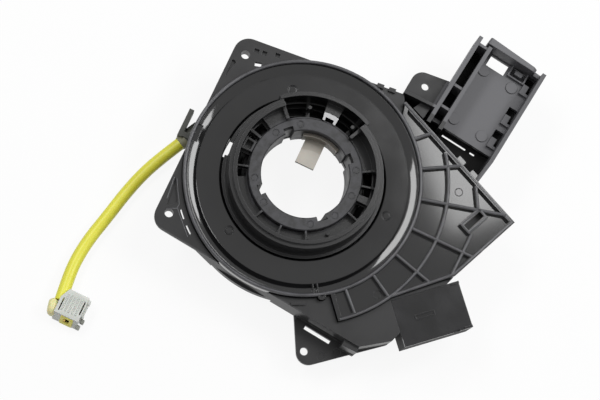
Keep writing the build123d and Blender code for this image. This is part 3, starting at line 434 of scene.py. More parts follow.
# The same resin from a polished tool: the annulus mirrors the hub, the chamfer and the fan mirror
# the lamps.
COVER_BLACK = MouldedPlastic(
    "cover_pbt_moulded_polished", "#0e0e0f", "#131314", "#2c2c2e", (0.06, 0.1), Grain(0.6, 0.001, 26.0),
    0.4, 1.52,
    zones=(Zone("#0d0d0e", 0.07, 0.5, ((None, 50.3),)), Zone("#111112", 0.08, 0.5, ((None, 57.0),))))
# Rib and rim tops of the cover: the same black, painted greyer as the highlight their rounded tops catch, and
# duller.
CREST_PAINTED_GREY = MouldedPlastic(
    "cover_pbt_crests_painted_highlight", "#38383b", "#49494c", "#58585b", (0.28, 0.38), Grain(0.5, 0.01, 9.0), 0.2)
# The tray's end wall: the same moulding, painted greyer as the light its faces catch, and dull.
TRAY_END_PAINTED_GREY = MouldedPlastic(
    "tray_end_pbt_black_painted_lit", "#525255", "#606063", "#747477", (0.46, 0.58), Grain(0.8, 0.01, 6.0),
    0.25)
# Glass-filled black nylon: fibres at the skin break the gloss up into grey mottling, except on the
# tube's smooth outside.
HUB_BLACK = MouldedPlastic(
    "hub_nylon_glass_filled_black", "#1a1a1b", "#3c3c3f", "#4a4a4c", (0.4, 0.56), Grain(0.8, 0.03, 3.5),
    0.3, specular=0.4, zones=(Zone("#101011", 0.26, 0.4, ((None, 28.4),)),))
# The same nylon where the tool was polished: the small yoke in the recess mirrors the lamps, and its base is
# painted a lighter lilac grey towards the colour of that glint.
YOKE_BLACK = MouldedPlastic(
    "yoke_nylon_polished_black", "#3c3c42", "#46464c", "#55555b", (0.06, 0.1), Grain(0.6, 0.001, 9.0),
    0.15, 1.6)
# Black POM, moulded: the running surfaces have a waxy half gloss.
ROTOR_BLACK = MouldedPlastic(
    "rotor_pom_moulded_black", "#151516", "#1e1e20", "#2f2f31", (0.36, 0.48), specular=0.4)
# Black PBT connector housing from a polished tool: its top is glossier than the case, its sides are
# matt.
CONNECTOR_BLACK = MouldedPlastic(
    "connector_pbt_moulded_black", "#121213", "#19191b", "#3c3c3e", (0.12, 0.18), Grain(0.6, 0.004, 14.0),
    specular=0.4, zones=(Zone("#0b0b0c", 0.7, 1.0, ((UP, -1.0), (DOWN, -29.4))),))
# Natural POM, moulded thin: warm beige on the tab, browner where the tab roots in its band.
LOCK_BEIGE = MouldedPlastic(
    "lock_pom_moulded_beige", "#aba69d", "#b8b3aa", "#c6c1b9", (0.45, 0.55), spread=0.08,
    zones=(Zone("#a19b91", 0.5, 1.0, ((None, 14.2),)), Zone("#5b564e", 0.5, 1.0, ((None, 19.4),))))
# Olive-grey nylon, moulded: dull with a soft sheen at its edges.
CLIP_OLIVE = MouldedPlastic(
    "clip_nylon_moulded_olive", "#2c2d28", "#3a3b34", "#4c4d45", (0.4, 0.5))
# Tan nylon of the strain relief, moulded: even, half matt.
COLLAR_TAN = MouldedPlastic(
    "collar_nylon_moulded_tan", "#77755f", "#858369", "#94927a", (0.42, 0.52))
# Pale grey PBT of the igniter plug, moulded: even and half matt.
PLUG_GREY = MouldedPlastic(
    "plug_pbt_moulded_grey", "#c6c9c3", "#d0d3cd", "#dcded9", (0.4, 0.5), spread=0.04)
# The same resin in a darker grey for the plug's two coding feet.
FOOT_GREY = MouldedPlastic(
    "plug_foot_pbt_moulded_grey", "#85877f", "#91938b", "#a6a8a1", (0.42, 0.52))
# Yellow PBT of the plug's lock, moulded: strong even yellow.
PLUG_YELLOW = MouldedPlastic(
    "plug_lock_pbt_moulded_yellow", "#e6dc55", "#ece367", "#f2ec86", (0.36, 0.46), spread=0.04)
# Natural nylon cap: pale yellowish white, slightly translucent.
PLUG_CREAM = MouldedPlastic(
    "plug_cap_nylon_natural", "#e0da9a", "#e8e3ac", "#efebc2", (0.4, 0.5), spread=0.12)
# Soft PVC sleeve, extruded over the wires: even bright yellow with a broad soft highlight.
LEAD_YELLOW = MouldedPlastic(
    "lead_pvc_extruded_yellow", "#dfdb3e", "#e6e348", "#e2de42", (0.38, 0.41), Grain(2.4, 0.004, 14.0), 0.2,
    1.53, spread=0.03)
# Black polyester ribbon, laminated over its strips, and black PTFE film: smooth and dark.
RIBBON_BLACK = MouldedPlastic(
    "ribbon_polyester_laminated_black", "#0f0f10", "#151516", "#1d1d1f", (0.2, 0.28),
    Grain(0.6, 0.002, 18.0))
FILM_BLACK = MouldedPlastic(
    "film_ptfe_skived_black", "#1c1c1d", "#242426", "#2c2c2e", (0.38, 0.48), Grain(0.6, 0.004, 18.0),
    ior=1.35)
# Dark grey PBT of the two contact blocks inside: half matt.
BLOCK_GREY = MouldedPlastic("block_pbt_moulded_grey", "#3c3c3e", "#464648", "#57575a", (0.4, 0.5))
# Tin-plated brass pins and bare brass strips, stamped: bright, with rolling lines along X.
PIN_TIN = StampedMetal("pin_brass_tinned", "#c9c6bb")
BAR_BRASS = StampedMetal("bar_brass_stamped", "#c9a45c", 0.4, 0.32)

# The CAD nodes that keep their own mesh, with their finishes.
CARRIED_OVER = {
    "squib_contacts": BAR_BRASS, "terminal_block": BLOCK_GREY, "bus_bars": BAR_BRASS,
    "ribbon_cable": RIBBON_BLACK, "rear_film": FILM_BLACK, "inner_terminal": BLOCK_GREY,
    "front_film": FILM_BLACK,
}


def shown_copy(node: str, finish: Finish, slot: Slot, edge: float = 0.0, sharp: float = 20.0) -> Piece:
    """Copy a CAD node as a merged, smooth-shaded piece that stands for it.

    Args:
        node: Name of the CAD node.
        finish: The finish that the copy gets.
        slot: The record's slot of that finish.
        edge: Width in millimetres of a real bevel on its sharp edges, or none at zero.
        sharp: Angle in degrees from which an edge stays sharp.

    Returns:
        The piece, riding on the node's body.
    """
    source = frame["nodes"][node]
    mesh = source.data.copy()
    piece = link(f"{node}_dressed", mesh)
    shape = bmesh.new()
    shape.from_mesh(mesh)
    bmesh.ops.remove_doubles(shape, verts=shape.verts, dist=WELD)
    if edge:
        bmesh.ops.dissolve_limit(shape, angle_limit=math.radians(FLAT), verts=shape.verts, edges=shape.edges)
    shape.to_mesh(mesh)
    shape.free()
    carried = mesh.attributes.get("custom_normal")
    if carried:
        mesh.attributes.remove(carried)
    if edge:
        round_edges(piece, edge, segments=2, angle_limit=math.radians(sharp), harden_normals=True)
    set_material(piece, finish)
    smooth(piece, sharp)
    return settle(piece, Body(source["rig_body"]), slot, node)


def bake_modifiers(piece: Piece) -> None:
    """Turn a piece's live modifiers into plain mesh.

    Args:
        piece: The piece.
    """
    graph = bpy.context.evaluated_depsgraph_get()
    graph.update()
    made = bpy.data.meshes.new_from_object(piece.evaluated_get(graph), depsgraph=graph)
    piece.modifiers.clear()
    piece.data = made


def round_edges(piece: Piece, width: float, segments: int, **settings: Any) -> None:
    """Bevel a piece's sharp edges, and keep the result as plain mesh.

    Args:
        piece: The piece.
        width: Width of the bevel in millimetres.
        segments: Number of its segments.
        settings: Other settings of the bevel.
    """
    bevel = piece.modifiers.new("edges", "BEVEL")
    bevel.width = width / 1000
    bevel.segments = segments
    bevel.limit_method = "ANGLE"
    for name, value in settings.items():
        setattr(bevel, name, value)
    bake_modifiers(piece)


def smooth(piece: Piece, sharp: float = 40.0) -> None:
    """Shade a piece smooth, with its edges from an angle in degrees kept sharp."""
    piece.data.shade_smooth()
    piece.data.set_sharp_from_angle(angle=math.radians(sharp))


def set_material(piece: Piece, finish: Finish) -> None:
    """Give a piece one finish in its only material slot."""
    piece.data.materials.clear()
    piece.data.materials.append(finish.material())


def settle(piece: Piece, body: Body, slot: Slot, *nodes: str) -> Piece:
    """Let a finished piece ride on its body, and stand for CAD nodes if it does.

    Args:
        piece: The piece.
        body: The body that it rides on.
        slot: The record's slot of its finish; not used.
        nodes: The CAD nodes that it stands for.

    Returns:
        The piece.
    """
    if nodes:
        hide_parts(*nodes)
    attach(piece, body.value)
    return piece


def open_tree(name: str, sizes: dict[str, Any]) -> tuple[Tree, bpy.types.Node]:
    """Start a geometry tree with named inputs for its sizes.

    Args:
        name: Name of the tree.
        sizes: The inputs' names, each with its value: a whole number, a length in metres or a step.

    Returns:
        The tree and its input node, whose first output is the geometry.
    """
    tree = bpy.data.node_groups.new(name, "GeometryNodeTree")
    for way in ("INPUT", "OUTPUT"):
        tree.interface.new_socket("Geometry", in_out=way, socket_type="NodeSocketGeometry")
    kinds = {int: "NodeSocketInt", float: "NodeSocketFloat"}
    for label, value in sizes.items():
        kind = kinds.get(type(value), "NodeSocketVector")
        tree.interface.new_socket(label, in_out="INPUT", socket_type=kind)
    return tree, add_node(tree, "NodeGroupInput")


def grow(piece: Piece, tree: Tree, made: Socket, sizes: dict[str, Any], finish: Finish) -> Piece:
    """End a geometry tree, run it on a piece with its sizes, and keep the result as plain mesh.

    Args:
        piece: The piece whose mesh the tree starts from.
        tree: The tree.
        made: The geometry socket that the tree ends with.
        sizes: Values of the named inputs.
        finish: The finish that the tree gives to all it makes.

    Returns:
        The piece, with the tree's result as its mesh.
    """
    real = add_node(tree, "GeometryNodeRealizeInstances", links={0: made})
    dressed = add_node(tree, "GeometryNodeSetMaterial", links={
        "Geometry": real.outputs[0], "Material": finish.material()})
    add_node(tree, "NodeGroupOutput", links={0: dressed.outputs[0]})
    modifier = piece.modifiers.new(tree.name, "NODES")
    modifier.node_group = tree
    for socket in tree.interface.items_tree:
        if socket.in_out == "INPUT" and socket.name in sizes:
            modifier[socket.identifier] = sizes[socket.name]
    bake_modifiers(piece)
    shape = bmesh.new()
    shape.from_mesh(piece.data)
    bmesh.ops.recalc_face_normals(shape, faces=shape.faces)
    shape.to_mesh(piece.data)
    shape.free()
    return piece


def mesh_piece(name: str, shape: Shape) -> Piece:
    """Turn a mesh in millimetres into a linked piece in metres, with its faces pointing out.

    Args:
        name: Name of the piece.
        shape: The mesh, which is used up.

    Returns:
        The piece.
    """
    bmesh.ops.scale(shape, vec=(0.001, 0.001, 0.001), verts=shape.verts)
    if shape.faces:
        bmesh.ops.recalc_face_normals(shape, faces=shape.faces)
    mesh = bpy.data.meshes.new(name)
    shape.to_mesh(mesh)
    shape.free()
    return link(name, mesh)


def line_piece(name: str, lines: Iterable[Sequence[Point]]) -> Piece:
    """Make a piece of bare edges, one chain for each line of points in millimetres.

    Args:
        name: Name of the piece.
        lines: The points of each line.

    Returns:
        The piece.
    """
    shape = bmesh.new()
    for line in lines:
        spots = [shape.verts.new(point) for point in line]
        for first, second in zip(spots, spots[1:]):
            shape.edges.new((first, second))
    return mesh_piece(name, shape)


def solid_piece(name: str, skins: Iterable[Skin]) -> Piece:
    """Make a piece of closed skins with flat ends.

    Args:
        name: Name of the piece.
        skins: Each skin's rings, of as many points each, in millimetres.

    Returns:
        The piece.
    """
    shape = bmesh.new()
    for rings in skins:
        rows = [[shape.verts.new(point) for point in ring] for ring in rings]
        for low, high in zip(rows, rows[1:]):
            for k in range(len(low)):
                after = (k + 1) % len(low)
                shape.faces.new((low[k], low[after], high[after], high[k]))
        shape.faces.new(rows[0][::-1])
        shape.faces.new(rows[-1])
    return mesh_piece(name, shape)


def tube(tree: Tree, path: Socket, radius: Socket, sides: Socket | int) -> Socket:
    """Run a smooth round section along the curves of a geometry tree.

    Args:
        tree: The tree.
        path: The curves.
        radius: Radius of the section.
        sides: Number of its sides.

    Returns:
        The tubes' geometry socket.
    """
    section = add_node(tree, "GeometryNodeCurvePrimitiveCircle", {"mode": "RADIUS"}, {
        "Radius": radius, "Resolution": sides})
    made = add_node(tree, "GeometryNodeCurveToMesh", links={
        "Curve": path, "Profile Curve": section.outputs[0], "Fill Caps": True})
    return add_node(tree, "GeometryNodeSetShadeSmooth", links={"Geometry": made.outputs[0]}).outputs[0]


def along(lines: Piece, radius: float, finish: Finish, sides: int = 10) -> Piece:
    """Run a round crest along each line of a piece of edges.

    Args:
        lines: The piece of edges.
        radius: Radius of the crest in millimetres.
        finish: Its finish.
        sides: Number of sides of its section.

    Returns:
        The piece, with the crests as its mesh.
    """
    sizes = {"Crest radius": radius / 1000, "Sides": sides}
    tree, given = open_tree(f"{lines.name}_along_lines", sizes)
    path = add_node(tree, "GeometryNodeMeshToCurve", links={"Mesh": given.outputs[0]})
    crests = tube(tree, path.outputs[0], given.outputs["Crest radius"], given.outputs["Sides"])
    return grow(lines, tree, crests, sizes, finish)


def in_rows(first: Piece, columns: int, rows: int, across: Vector, down: Vector, finish: Finish) -> Piece:
    """Repeat a piece in columns and rows.

    Args:
        first: The first of the repeated shapes, in its place.
        columns: How many there are across.
        rows: How many rows there are.
        across: Step from column to column in metres.
        down: Step from row to row in metres.
        finish: Their finish.

    Returns:
        The piece, with all of them as its mesh.
    """
    sizes = {"Columns": columns, "Rows": rows, "Column step": tuple(across), "Row step": tuple(down)}
    tree, given = open_tree(f"{first.name}_in_rows", sizes)
    made = given.outputs[0]
    for count, step in (("Columns", "Column step"), ("Rows", "Row step")):
        spots = add_node(tree, "GeometryNodeMeshLine", {"mode": "OFFSET"}, {
            "Count": given.outputs[count], "Offset": given.outputs[step]})
        made = add_node(tree, "GeometryNodeInstanceOnPoints", links={
            "Points": spots.outputs[0], "Instance": made}).outputs[0]
    return grow(first, tree, made, sizes, finish)


def rims_at(name: str, spots: Iterable[Point], size: Plan, finish: Finish) -> Piece:
    """Set the same small round rim on each spot.

    Args:
        name: Name of the piece.
        spots: Centres of the rims in millimetres.
        size: Radius in millimetres of a rim, and of its rounded edge.
        finish: Their finish.

    Returns:
        The piece, with all the rims as its mesh.
    """
    sizes = {"Rim radius": size[0] / 1000, "Edge radius": size[1] / 1000}
    tree, given = open_tree(f"{name}_on_points", sizes)
    circle = add_node(tree, "GeometryNodeCurvePrimitiveCircle", {"mode": "RADIUS"}, {
        "Radius": given.outputs["Rim radius"], "Resolution": 24})
    rim = tube(tree, circle.outputs[0], given.outputs["Edge radius"], sides=8)
    placed = add_node(tree, "GeometryNodeInstanceOnPoints", links={
        "Points": given.outputs[0], "Instance": rim})
    return grow(line_piece(name, [[spot] for spot in spots]), tree, placed.outputs[0], sizes, finish)


def pin_rows(node: str, body: Body, root: Vector, way: Vector, size: Plan, across: Vector,
             down: Vector) -> Piece:
    """Build a connector's tinned square pins, with tapered tips, for a CAD node.

    Args:
        node: Name of the CAD node.
        body: The body that they ride on.
        root: Root of the first pin in millimetres.
        way: Direction from root to tip.
        size: Width and length of a pin in millimetres.
        across: Step from pin to pin in metres.
        down: Step from row to row in metres.

    Returns:
        The piece with all the pins.
    """
    width, length = size
    side = Vector((0, 0, 1)) if abs(way.z) < 0.5 else Vector((1, 0, 0))
    other = way.cross(side)
    rings = []
    for reach, half in ((0, width / 2), (length - 2 * width, width / 2), (length, width / 5)):
        centre = root + way * reach
        rings.append([centre + side * a * half + other * b * half for a, b in SQUARE])
    pins = in_rows(solid_piece(f"{node}_dressed", [rings]), PIN_COLUMNS, PIN_ROWS, across, down, PIN_TIN)
    return settle(pins, body, Slot.PIN, node)


@dataclass
class Placed:
    """A sub-assembly with axes of its own in the plan.

    Attributes:
        centre: Their origin in millimetres.
        turn: Their angle in degrees.
    """

    centre: Plan = (0.0, 0.0)
    turn: float = 0.0

    def place(self, x: float, y: float, z: float) -> Vector:
        """Turn a point of its own axes into one of the part's."""
        flat = Matrix.Rotation(math.radians(self.turn), 2) @ Vector((x, y)) + Vector(self.centre)
        return Vector((*flat, z))

    def blocks(self, sizes: Iterable[Block], lean: float = 0.0) -> list[Skin]:
        """Give the skins of some blocks.

        Args:
            sizes: The two places of each block in X, in Y and in height.
            lean: How far their low end in Y leans back from foot to top.

        Returns:
            The skins, in the part's axes.
        """
        skins = []
        for (left, right), (low, high), levels in sizes:
            rings = []
            for level, front in zip(levels, (low, low + lean)):
                corners = ((left, front), (right, front), (right, high), (left, high))
                rings.append([self.place(*corner, level) for corner in corners])
            skins.append(rings)
        return skins


@dataclass
class Studio:
    """White floor and sky, three soft boxes and the camera over the part.

    Attributes:
        target: Point that the camera looks at, in millimetres.
        distance: Camera distance in millimetres.
        azimuth: Camera azimuth in degrees.
        elevation: Camera elevation in degrees.
        up: Plan direction that is up in the image.
        width: Width in millimetres that the image spans at the target.
        sky_level: Brightness of the sky's even light, where one is white.
        floor_size: Width of the floor in millimetres.
        floor_gap: How far the floor lies under the part.
        floor_glow: Share of plain white in what the camera and mirrors see of the floor.
        lamp_distance: Distance of the soft boxes in millimetres.
        lamps: Name, first and last end, width and brightness of the long boxes, as lamp takes them.
        high_card: Name, direction, reach, side and brightness of the level box, as card takes them.
    """

    target: Point = (3.1, -10.3, 31.0)
    distance: float = 900.0
    azimuth: float = -5.6
    elevation: float = 77.3
    up: Plan = (-0.416, 0.909)
    width: float = 285.0
    sky_level: float = 0.25
    floor_size: float = 6000.0
    floor_gap: float = 0.3
    floor_glow: float = 0.9
    lamp_distance: float = 1300.0
    lamps: tuple[tuple[str, Plan, Plan, float, float], ...] = (
        ("right_box", (-12.0, 51.5), (32.0, 41.0), 12.0, 10.5),
        ("left_box", (113.5, 46.5), (166.0, 58.0), 13.0, 9.5),
    )
    high_card: tuple[str, float, Plan, Plan, float] = ("high_card", 45.0, (378.0, 980.0), (80.0, 400.0), 8.6)

    def directions(self) -> tuple[Vector, Vector, Vector]:
        """Give the image's right and up in the plan, and the way to the camera.

        Returns:
            Three unit vectors.
        """
        turn, lift = math.radians(self.azimuth), math.radians(self.elevation)
        back = Vector((math.sin(turn) * math.cos(lift), -math.cos(turn) * math.cos(lift), math.sin(lift)))
        up = Vector((*self.up, 0)).normalized()
        return up.cross(Vector((0, 0, 1))), up, back

    def camera(self) -> None:
        """Place the camera at the photograph's viewing angle."""
        _, up, back = self.directions()
        right = up.cross(back).normalized()
        data = bpy.data.cameras.new("camera")
        data.sensor_width = 36.0
        data.lens = data.sensor_width * self.distance / self.width
        data.clip_end = 20.0
        eye = link("camera", data)
        eye.matrix_world = Matrix((right, back.cross(right), back)).transposed().to_4x4()
        eye.location = metres(*self.target) + back * self.distance / 1000
        bpy.context.scene.camera = eye

    def background_rays(self, tree: Tree) -> Socket:
        """Give a socket that is one for camera, glossy and transmission rays.

        Args:
            tree: The material's tree.

        Returns:
            The socket.
        """
        path = add_node(tree, "ShaderNodeLightPath")
        made = path.outputs["Is Camera Ray"]
        for kind in ("Is Glossy Ray", "Is Transmission Ray"):
            made = add_node(tree, "ShaderNodeMath", {"operation": "MAXIMUM"}, {
                0: made, 1: path.outputs[kind]}).outputs[0]
        return made

    def sky(self) -> None:
        """Light the scene evenly, and show white where the sky is seen."""
        world = bpy.data.worlds.new("studio")
        tree = bare_tree(world)
        strength = add_node(tree, "ShaderNodeMix", links={
            0: self.background_rays(tree), 2: self.sky_level, 3: 1.0})
        shown = add_node(tree, "ShaderNodeBackground", links={
            "Color": (1, 1, 1, 1), "Strength": strength.outputs[0]})
        add_node(tree, "ShaderNodeOutputWorld", links={"Surface": shown.outputs[0]})
        bpy.context.scene.world = world

    def floor(self) -> None:
        """Lay the pale floor that keeps a faint shadow of the part."""
        half = self.floor_size / 2000
        mesh = bpy.data.meshes.new("floor")
        mesh.from_pydata([(-half, -half, 0), (half, -half, 0), (half, half, 0), (-half, half, 0)], [],
                         [(0, 1, 2, 3)])
        piece = link("floor", mesh)
        piece.location.z = -self.floor_gap / 1000
        made = bpy.data.materials.new("floor_board_painted_white")
        tree = bare_tree(made)
        share = add_node(tree, "ShaderNodeMath", {"operation": "MULTIPLY"}, {
            0: self.background_rays(tree), 1: self.floor_glow})
        matt = add_node(tree, "ShaderNodeBsdfDiffuse", links={"Color": linear("#f0f0f0")})
        glow = add_node(tree, "ShaderNodeEmission", links={"Color": (1, 1, 1, 1), "Strength": 1.0})
        mixed = add_node(tree, "ShaderNodeMixShader", links={
            0: share.outputs[0], 1: matt.outputs[0], 2: glow.outputs[0]})
        add_node(tree, "ShaderNodeOutputMaterial", links={"Surface": mixed.outputs[0]})
        mesh.materials.append(made)

    def soft_box(self, name: str, length: float, width: float, radiance: float) -> Piece:
        """Make an area lamp.

        Args:
            name: Name of the lamp.
            length: Its first side in metres.
            width: Its second side in metres.
            radiance: Brightness of its face, where one is white.

        Returns:
            The lamp.
        """
        data = bpy.data.lights.new(name, "AREA")
        data.shape = "RECTANGLE"
        data.size, data.size_y = length, width
        data.energy = radiance * math.pi * data.size * data.size_y
        return link(name, data)

    def lamp(self, name: str, start: Plan, end: Plan, width: float, radiance: float) -> None:
        """Hang a long soft box between two directions seen from the part.

        Args:
            name: Name of the lamp.
            start: Azimuth from the image's right, and elevation, of its first end in degrees.
            end: The same for its last end.
            width: Angle in degrees across its short side.
            radiance: Brightness of its face, where one is white.
        """
        right, up, _ = self.directions()
        ends = []
        for azimuth, elevation in (start, end):
            turn, lift = math.radians(azimuth), math.radians(elevation)
            flat = (right * math.cos(turn) + up * math.sin(turn)) * math.cos(lift)
            ends.append(flat + Vector((0, 0, math.sin(lift))))
        way = (ends[0] + ends[1]).normalized()
        run = (ends[1] - ends[0]).normalized()
        reach = self.lamp_distance / 1000
        box = self.soft_box(name, 2 * reach * math.tan(ends[0].angle(ends[1]) / 2),
                            2 * reach * math.tan(math.radians(width) / 2), radiance)
        box.matrix_world = Matrix((run, way.cross(run), way)).transposed().to_4x4()
        box.location = metres(0, 0, self.target[2]) + way * reach

    def card(self, name: str, turn: float, reach: Plan, side: Plan, radiance: float) -> None:
        """Hang a level soft box over the part, so that polished tops mirror its near edge.

        Args:
            name: Name of the lamp.
            turn: Plan direction in degrees in which it lies.
            reach: First and last distance along that direction, in millimetres.
            side: Right and left end across that direction, in millimetres.
            radiance: Brightness of its face, where one is white.
        """
        box = self.soft_box(name, (reach[1] - reach[0]) / 1000, (side[1] - side[0]) / 1000, radiance)
        spot = Matrix.Rotation(math.radians(turn), 3, "Z") @ metres(sum(reach) / 2, sum(side) / 2, 0)
        box.location = spot + metres(0, 0, self.target[2] + self.lamp_distance)
        box.rotation_euler.z = math.radians(turn)

    def build(self) -> None:
        """Set the studio up."""
        self.camera()
        self.sky()
        self.floor()
        for lamp in self.lamps:
            self.lamp(*lamp)
        self.card(*self.high_card)
        bpy.context.scene.view_settings.view_transform = "Standard"
        LOG.info("studio: camera %.0f mm from the part", self.distance)


@dataclass
class IgniterPlug(Placed):
    """The low plug on the lead's end, in its own axes with the mouth towards minus Y.

    Attributes:
        height: Height of its body in millimetres.
        width: Width of its body.
        back: Place of its back face.
        corner: Where the corner is cut off for the lead, in X and in Y.
        front: Place of its leaning front face at the floor and at the top.
        mouth: The yellow insert before its face leans.
        hole: The square hole behind the mouth, and how deep it is in the insert.
        slits: The two dark slits in the body's top.
        latch: The side latch with its raised back end and its foot.
        feet: The two coding feet.
        rib: Place of the first rib on the top, and its width, length and height.
        rib_count: Number of ribs.
        rib_step: Step between the ribs.
        rib_profile: Share of a rib's height and how far its sides are set in there.
        lobe: Place of the cap's lobe, its half length, radius and angle.
        lobe_profile: Heights of the lobe, each with its share of the full section.
    """

    centre: Plan = (-73.6, -99.4)
    height: float = 9.6
    width: float = 12.6
    back: float = 6.7
    corner: Plan = (-4.0, 1.8)
    front: Plan = (-8.6, -6.0)
    mouth: Block = ((-2.4, 4.0), (-9.1, -3.0), (1.0, 8.8))
    hole: tuple[Block, Block] = (
        ((-0.55, 2.15), (-10.6, -1.1), (3.2, 7.1)), ((-0.55, 2.15), (-10.6, -5.0), (3.2, 7.1)))
    slits: tuple[Block, ...] = (
        ((-4.9, -4.3), (-4.6, 1.9), (4.0, 10.6)), ((5.0, 5.7), (-2.6, 4.2), (4.0, 10.6)))
    latch: tuple[Block, ...] = (
        ((5.6, 7.3), (-3.0, 5.6), (2.5, 8.2)), ((4.7, 7.6), (3.7, 5.9), (2.5, 9.0)),
        ((5.6, 7.6), (-3.4, -1.8), (2.0, 7.2)))
    feet: tuple[Block, ...] = (
        ((6.6, 8.6), (-5.4, -3.2), (0.4, 4.6)), ((5.9, 7.9), (-8.7, -6.5), (0.4, 4.6)))
    rib: tuple[float, float, float, float] = (-3.3, 0.7, 8.4, 0.45)
    rib_count: int = 5
    rib_step: float = 1.75
    rib_profile: tuple[Plan, ...] = ((-0.22, 0.0), (0.6, 0.05), (1.0, 0.25))
    lobe: tuple[Plan, float, float, float] = ((-8.0, -3.9), 4.2, 2.4, 14.0)
    lobe_profile: tuple[Plan, ...] = (
        (0.5, 0.86), (1.3, 1.0), (5.6, 1.0), (7.2, 0.9), (8.3, 0.66), (8.8, 0.3))

    def softened(self, name: str, skins: Iterable[Skin], finish: Finish, width: float = 0.3,
                 cuts: Iterable[Block] = ()) -> Piece:
        """Make a piece with rounded edges, after blocks have been cut out of it.

        Args:
            name: Name of the piece.
            skins: Its skins.
            finish: Its finish.
            width: Width of the rounded edges in millimetres.
            cuts: The blocks that are cut out.

        Returns:
            The piece.
        """
        piece = solid_piece(name, skins)
        if cuts:
            cutter = solid_piece("plug_cutter", self.blocks(cuts))
            cut = piece.modifiers.new("cuts", "BOOLEAN")
            cut.object = cutter
            cut.solver = "EXACT"
            bake_modifiers(piece)
            bpy.data.objects.remove(cutter)
        round_edges(piece, width, segments=3)
        set_material(piece, finish)
        smooth(piece)
        return piece

    def body(self) -> Piece:
        """Build the body with its leaning front, cut corner, hole and slits.

        Returns:
            The piece.
        """
        half = self.width / 2
        rings = []
        for level, front in zip((0.0, self.height), self.front):
            outline = ((-half, front), (half, front), (half, self.back), (self.corner[0], self.back),
                       (-half, self.corner[1]))
            rings.append([self.place(*spot, level) for spot in outline])
        return self.softened("squib_plug_dressed", [rings], PLUG_GREY, 0.4, (self.hole[0], *self.slits))

    def side_latch(self) -> Piece:
        """Build the latch on the body's right side."""
        return self.softened("plug_side_latch", self.blocks(self.latch), PLUG_GREY)

    def coding_feet(self) -> Piece:
        """Build the two small feet beside the mouth."""
        return self.softened("plug_feet", self.blocks(self.feet), FOOT_GREY)

    def ribs(self) -> Piece:
        """Build the long low ribs on the body's top.

        Returns:
            The piece.
        """
        x, width, length, rise = self.rib
        middle = (self.front[1] + self.back) / 2
        rings = []
        for share, inset in self.rib_profile:
            a, b = width / 2 - inset, length / 2 - inset
            level = self.height + rise * share
            rings.append([self.place(x + p * a, middle + q * b, level) for p, q in SQUARE])
        step = self.place(self.rib_step, 0, 0) - self.place(0, 0, 0)
        return in_rows(solid_piece("plug_ribs", [rings]), self.rib_count, 1, step / 1000, Vector((0, 0, 0)),
                       PLUG_GREY)

    def insert(self) -> Piece:
        """Build the yellow insert with its square hole in the leaning front face."""
        skins = self.blocks([self.mouth], self.front[1] - self.front[0])
        return self.softened("plug_lock_dressed", skins, PLUG_YELLOW, cuts=self.hole[1:])

    def cap(self, count: int = 28) -> Piece:
        """Build the cap's long domed lobe beside the body.

        Args:
            count: Number of points round the lobe.

        Returns:
            The piece.
        """
        (x, y), reach, radius, turn = self.lobe
        tilt = Matrix.Rotation(math.radians(turn), 2)
        rings = []
        for level, share in self.lobe_profile:
            ring = []
            for k in range(count):
                angle = math.tau * k / count
                across, along_it = math.cos(angle), math.sin(angle)
                side = math.copysign(reach - radius, along_it) if abs(along_it) > 1e-6 else 0.0
                spot = Vector((radius * across, radius * along_it + side)) * share
                ring.append(self.place(*(tilt @ spot + Vector((x, y))), level))
            rings.append(ring)
        piece = solid_piece("plug_cover_dressed", [rings])
        set_material(piece, PLUG_CREAM)
        piece.data.shade_smooth()
        return piece

    def build(self) -> list[Piece]:
        """Build the plug's pieces.

        Returns:
            The pieces.
        """
        return [
            settle(self.body(), Body.ROTOR, Slot.PLUG, "squib_plug"),
            settle(self.side_latch(), Body.ROTOR, Slot.PLUG),
            settle(self.ribs(), Body.ROTOR, Slot.PLUG),
            settle(self.insert(), Body.ROTOR, Slot.INSERT, "plug_lock"),
            settle(self.cap(), Body.ROTOR, Slot.CAP, "plug_cover"),
            settle(self.coding_feet(), Body.ROTOR, Slot.PLUG),
        ]


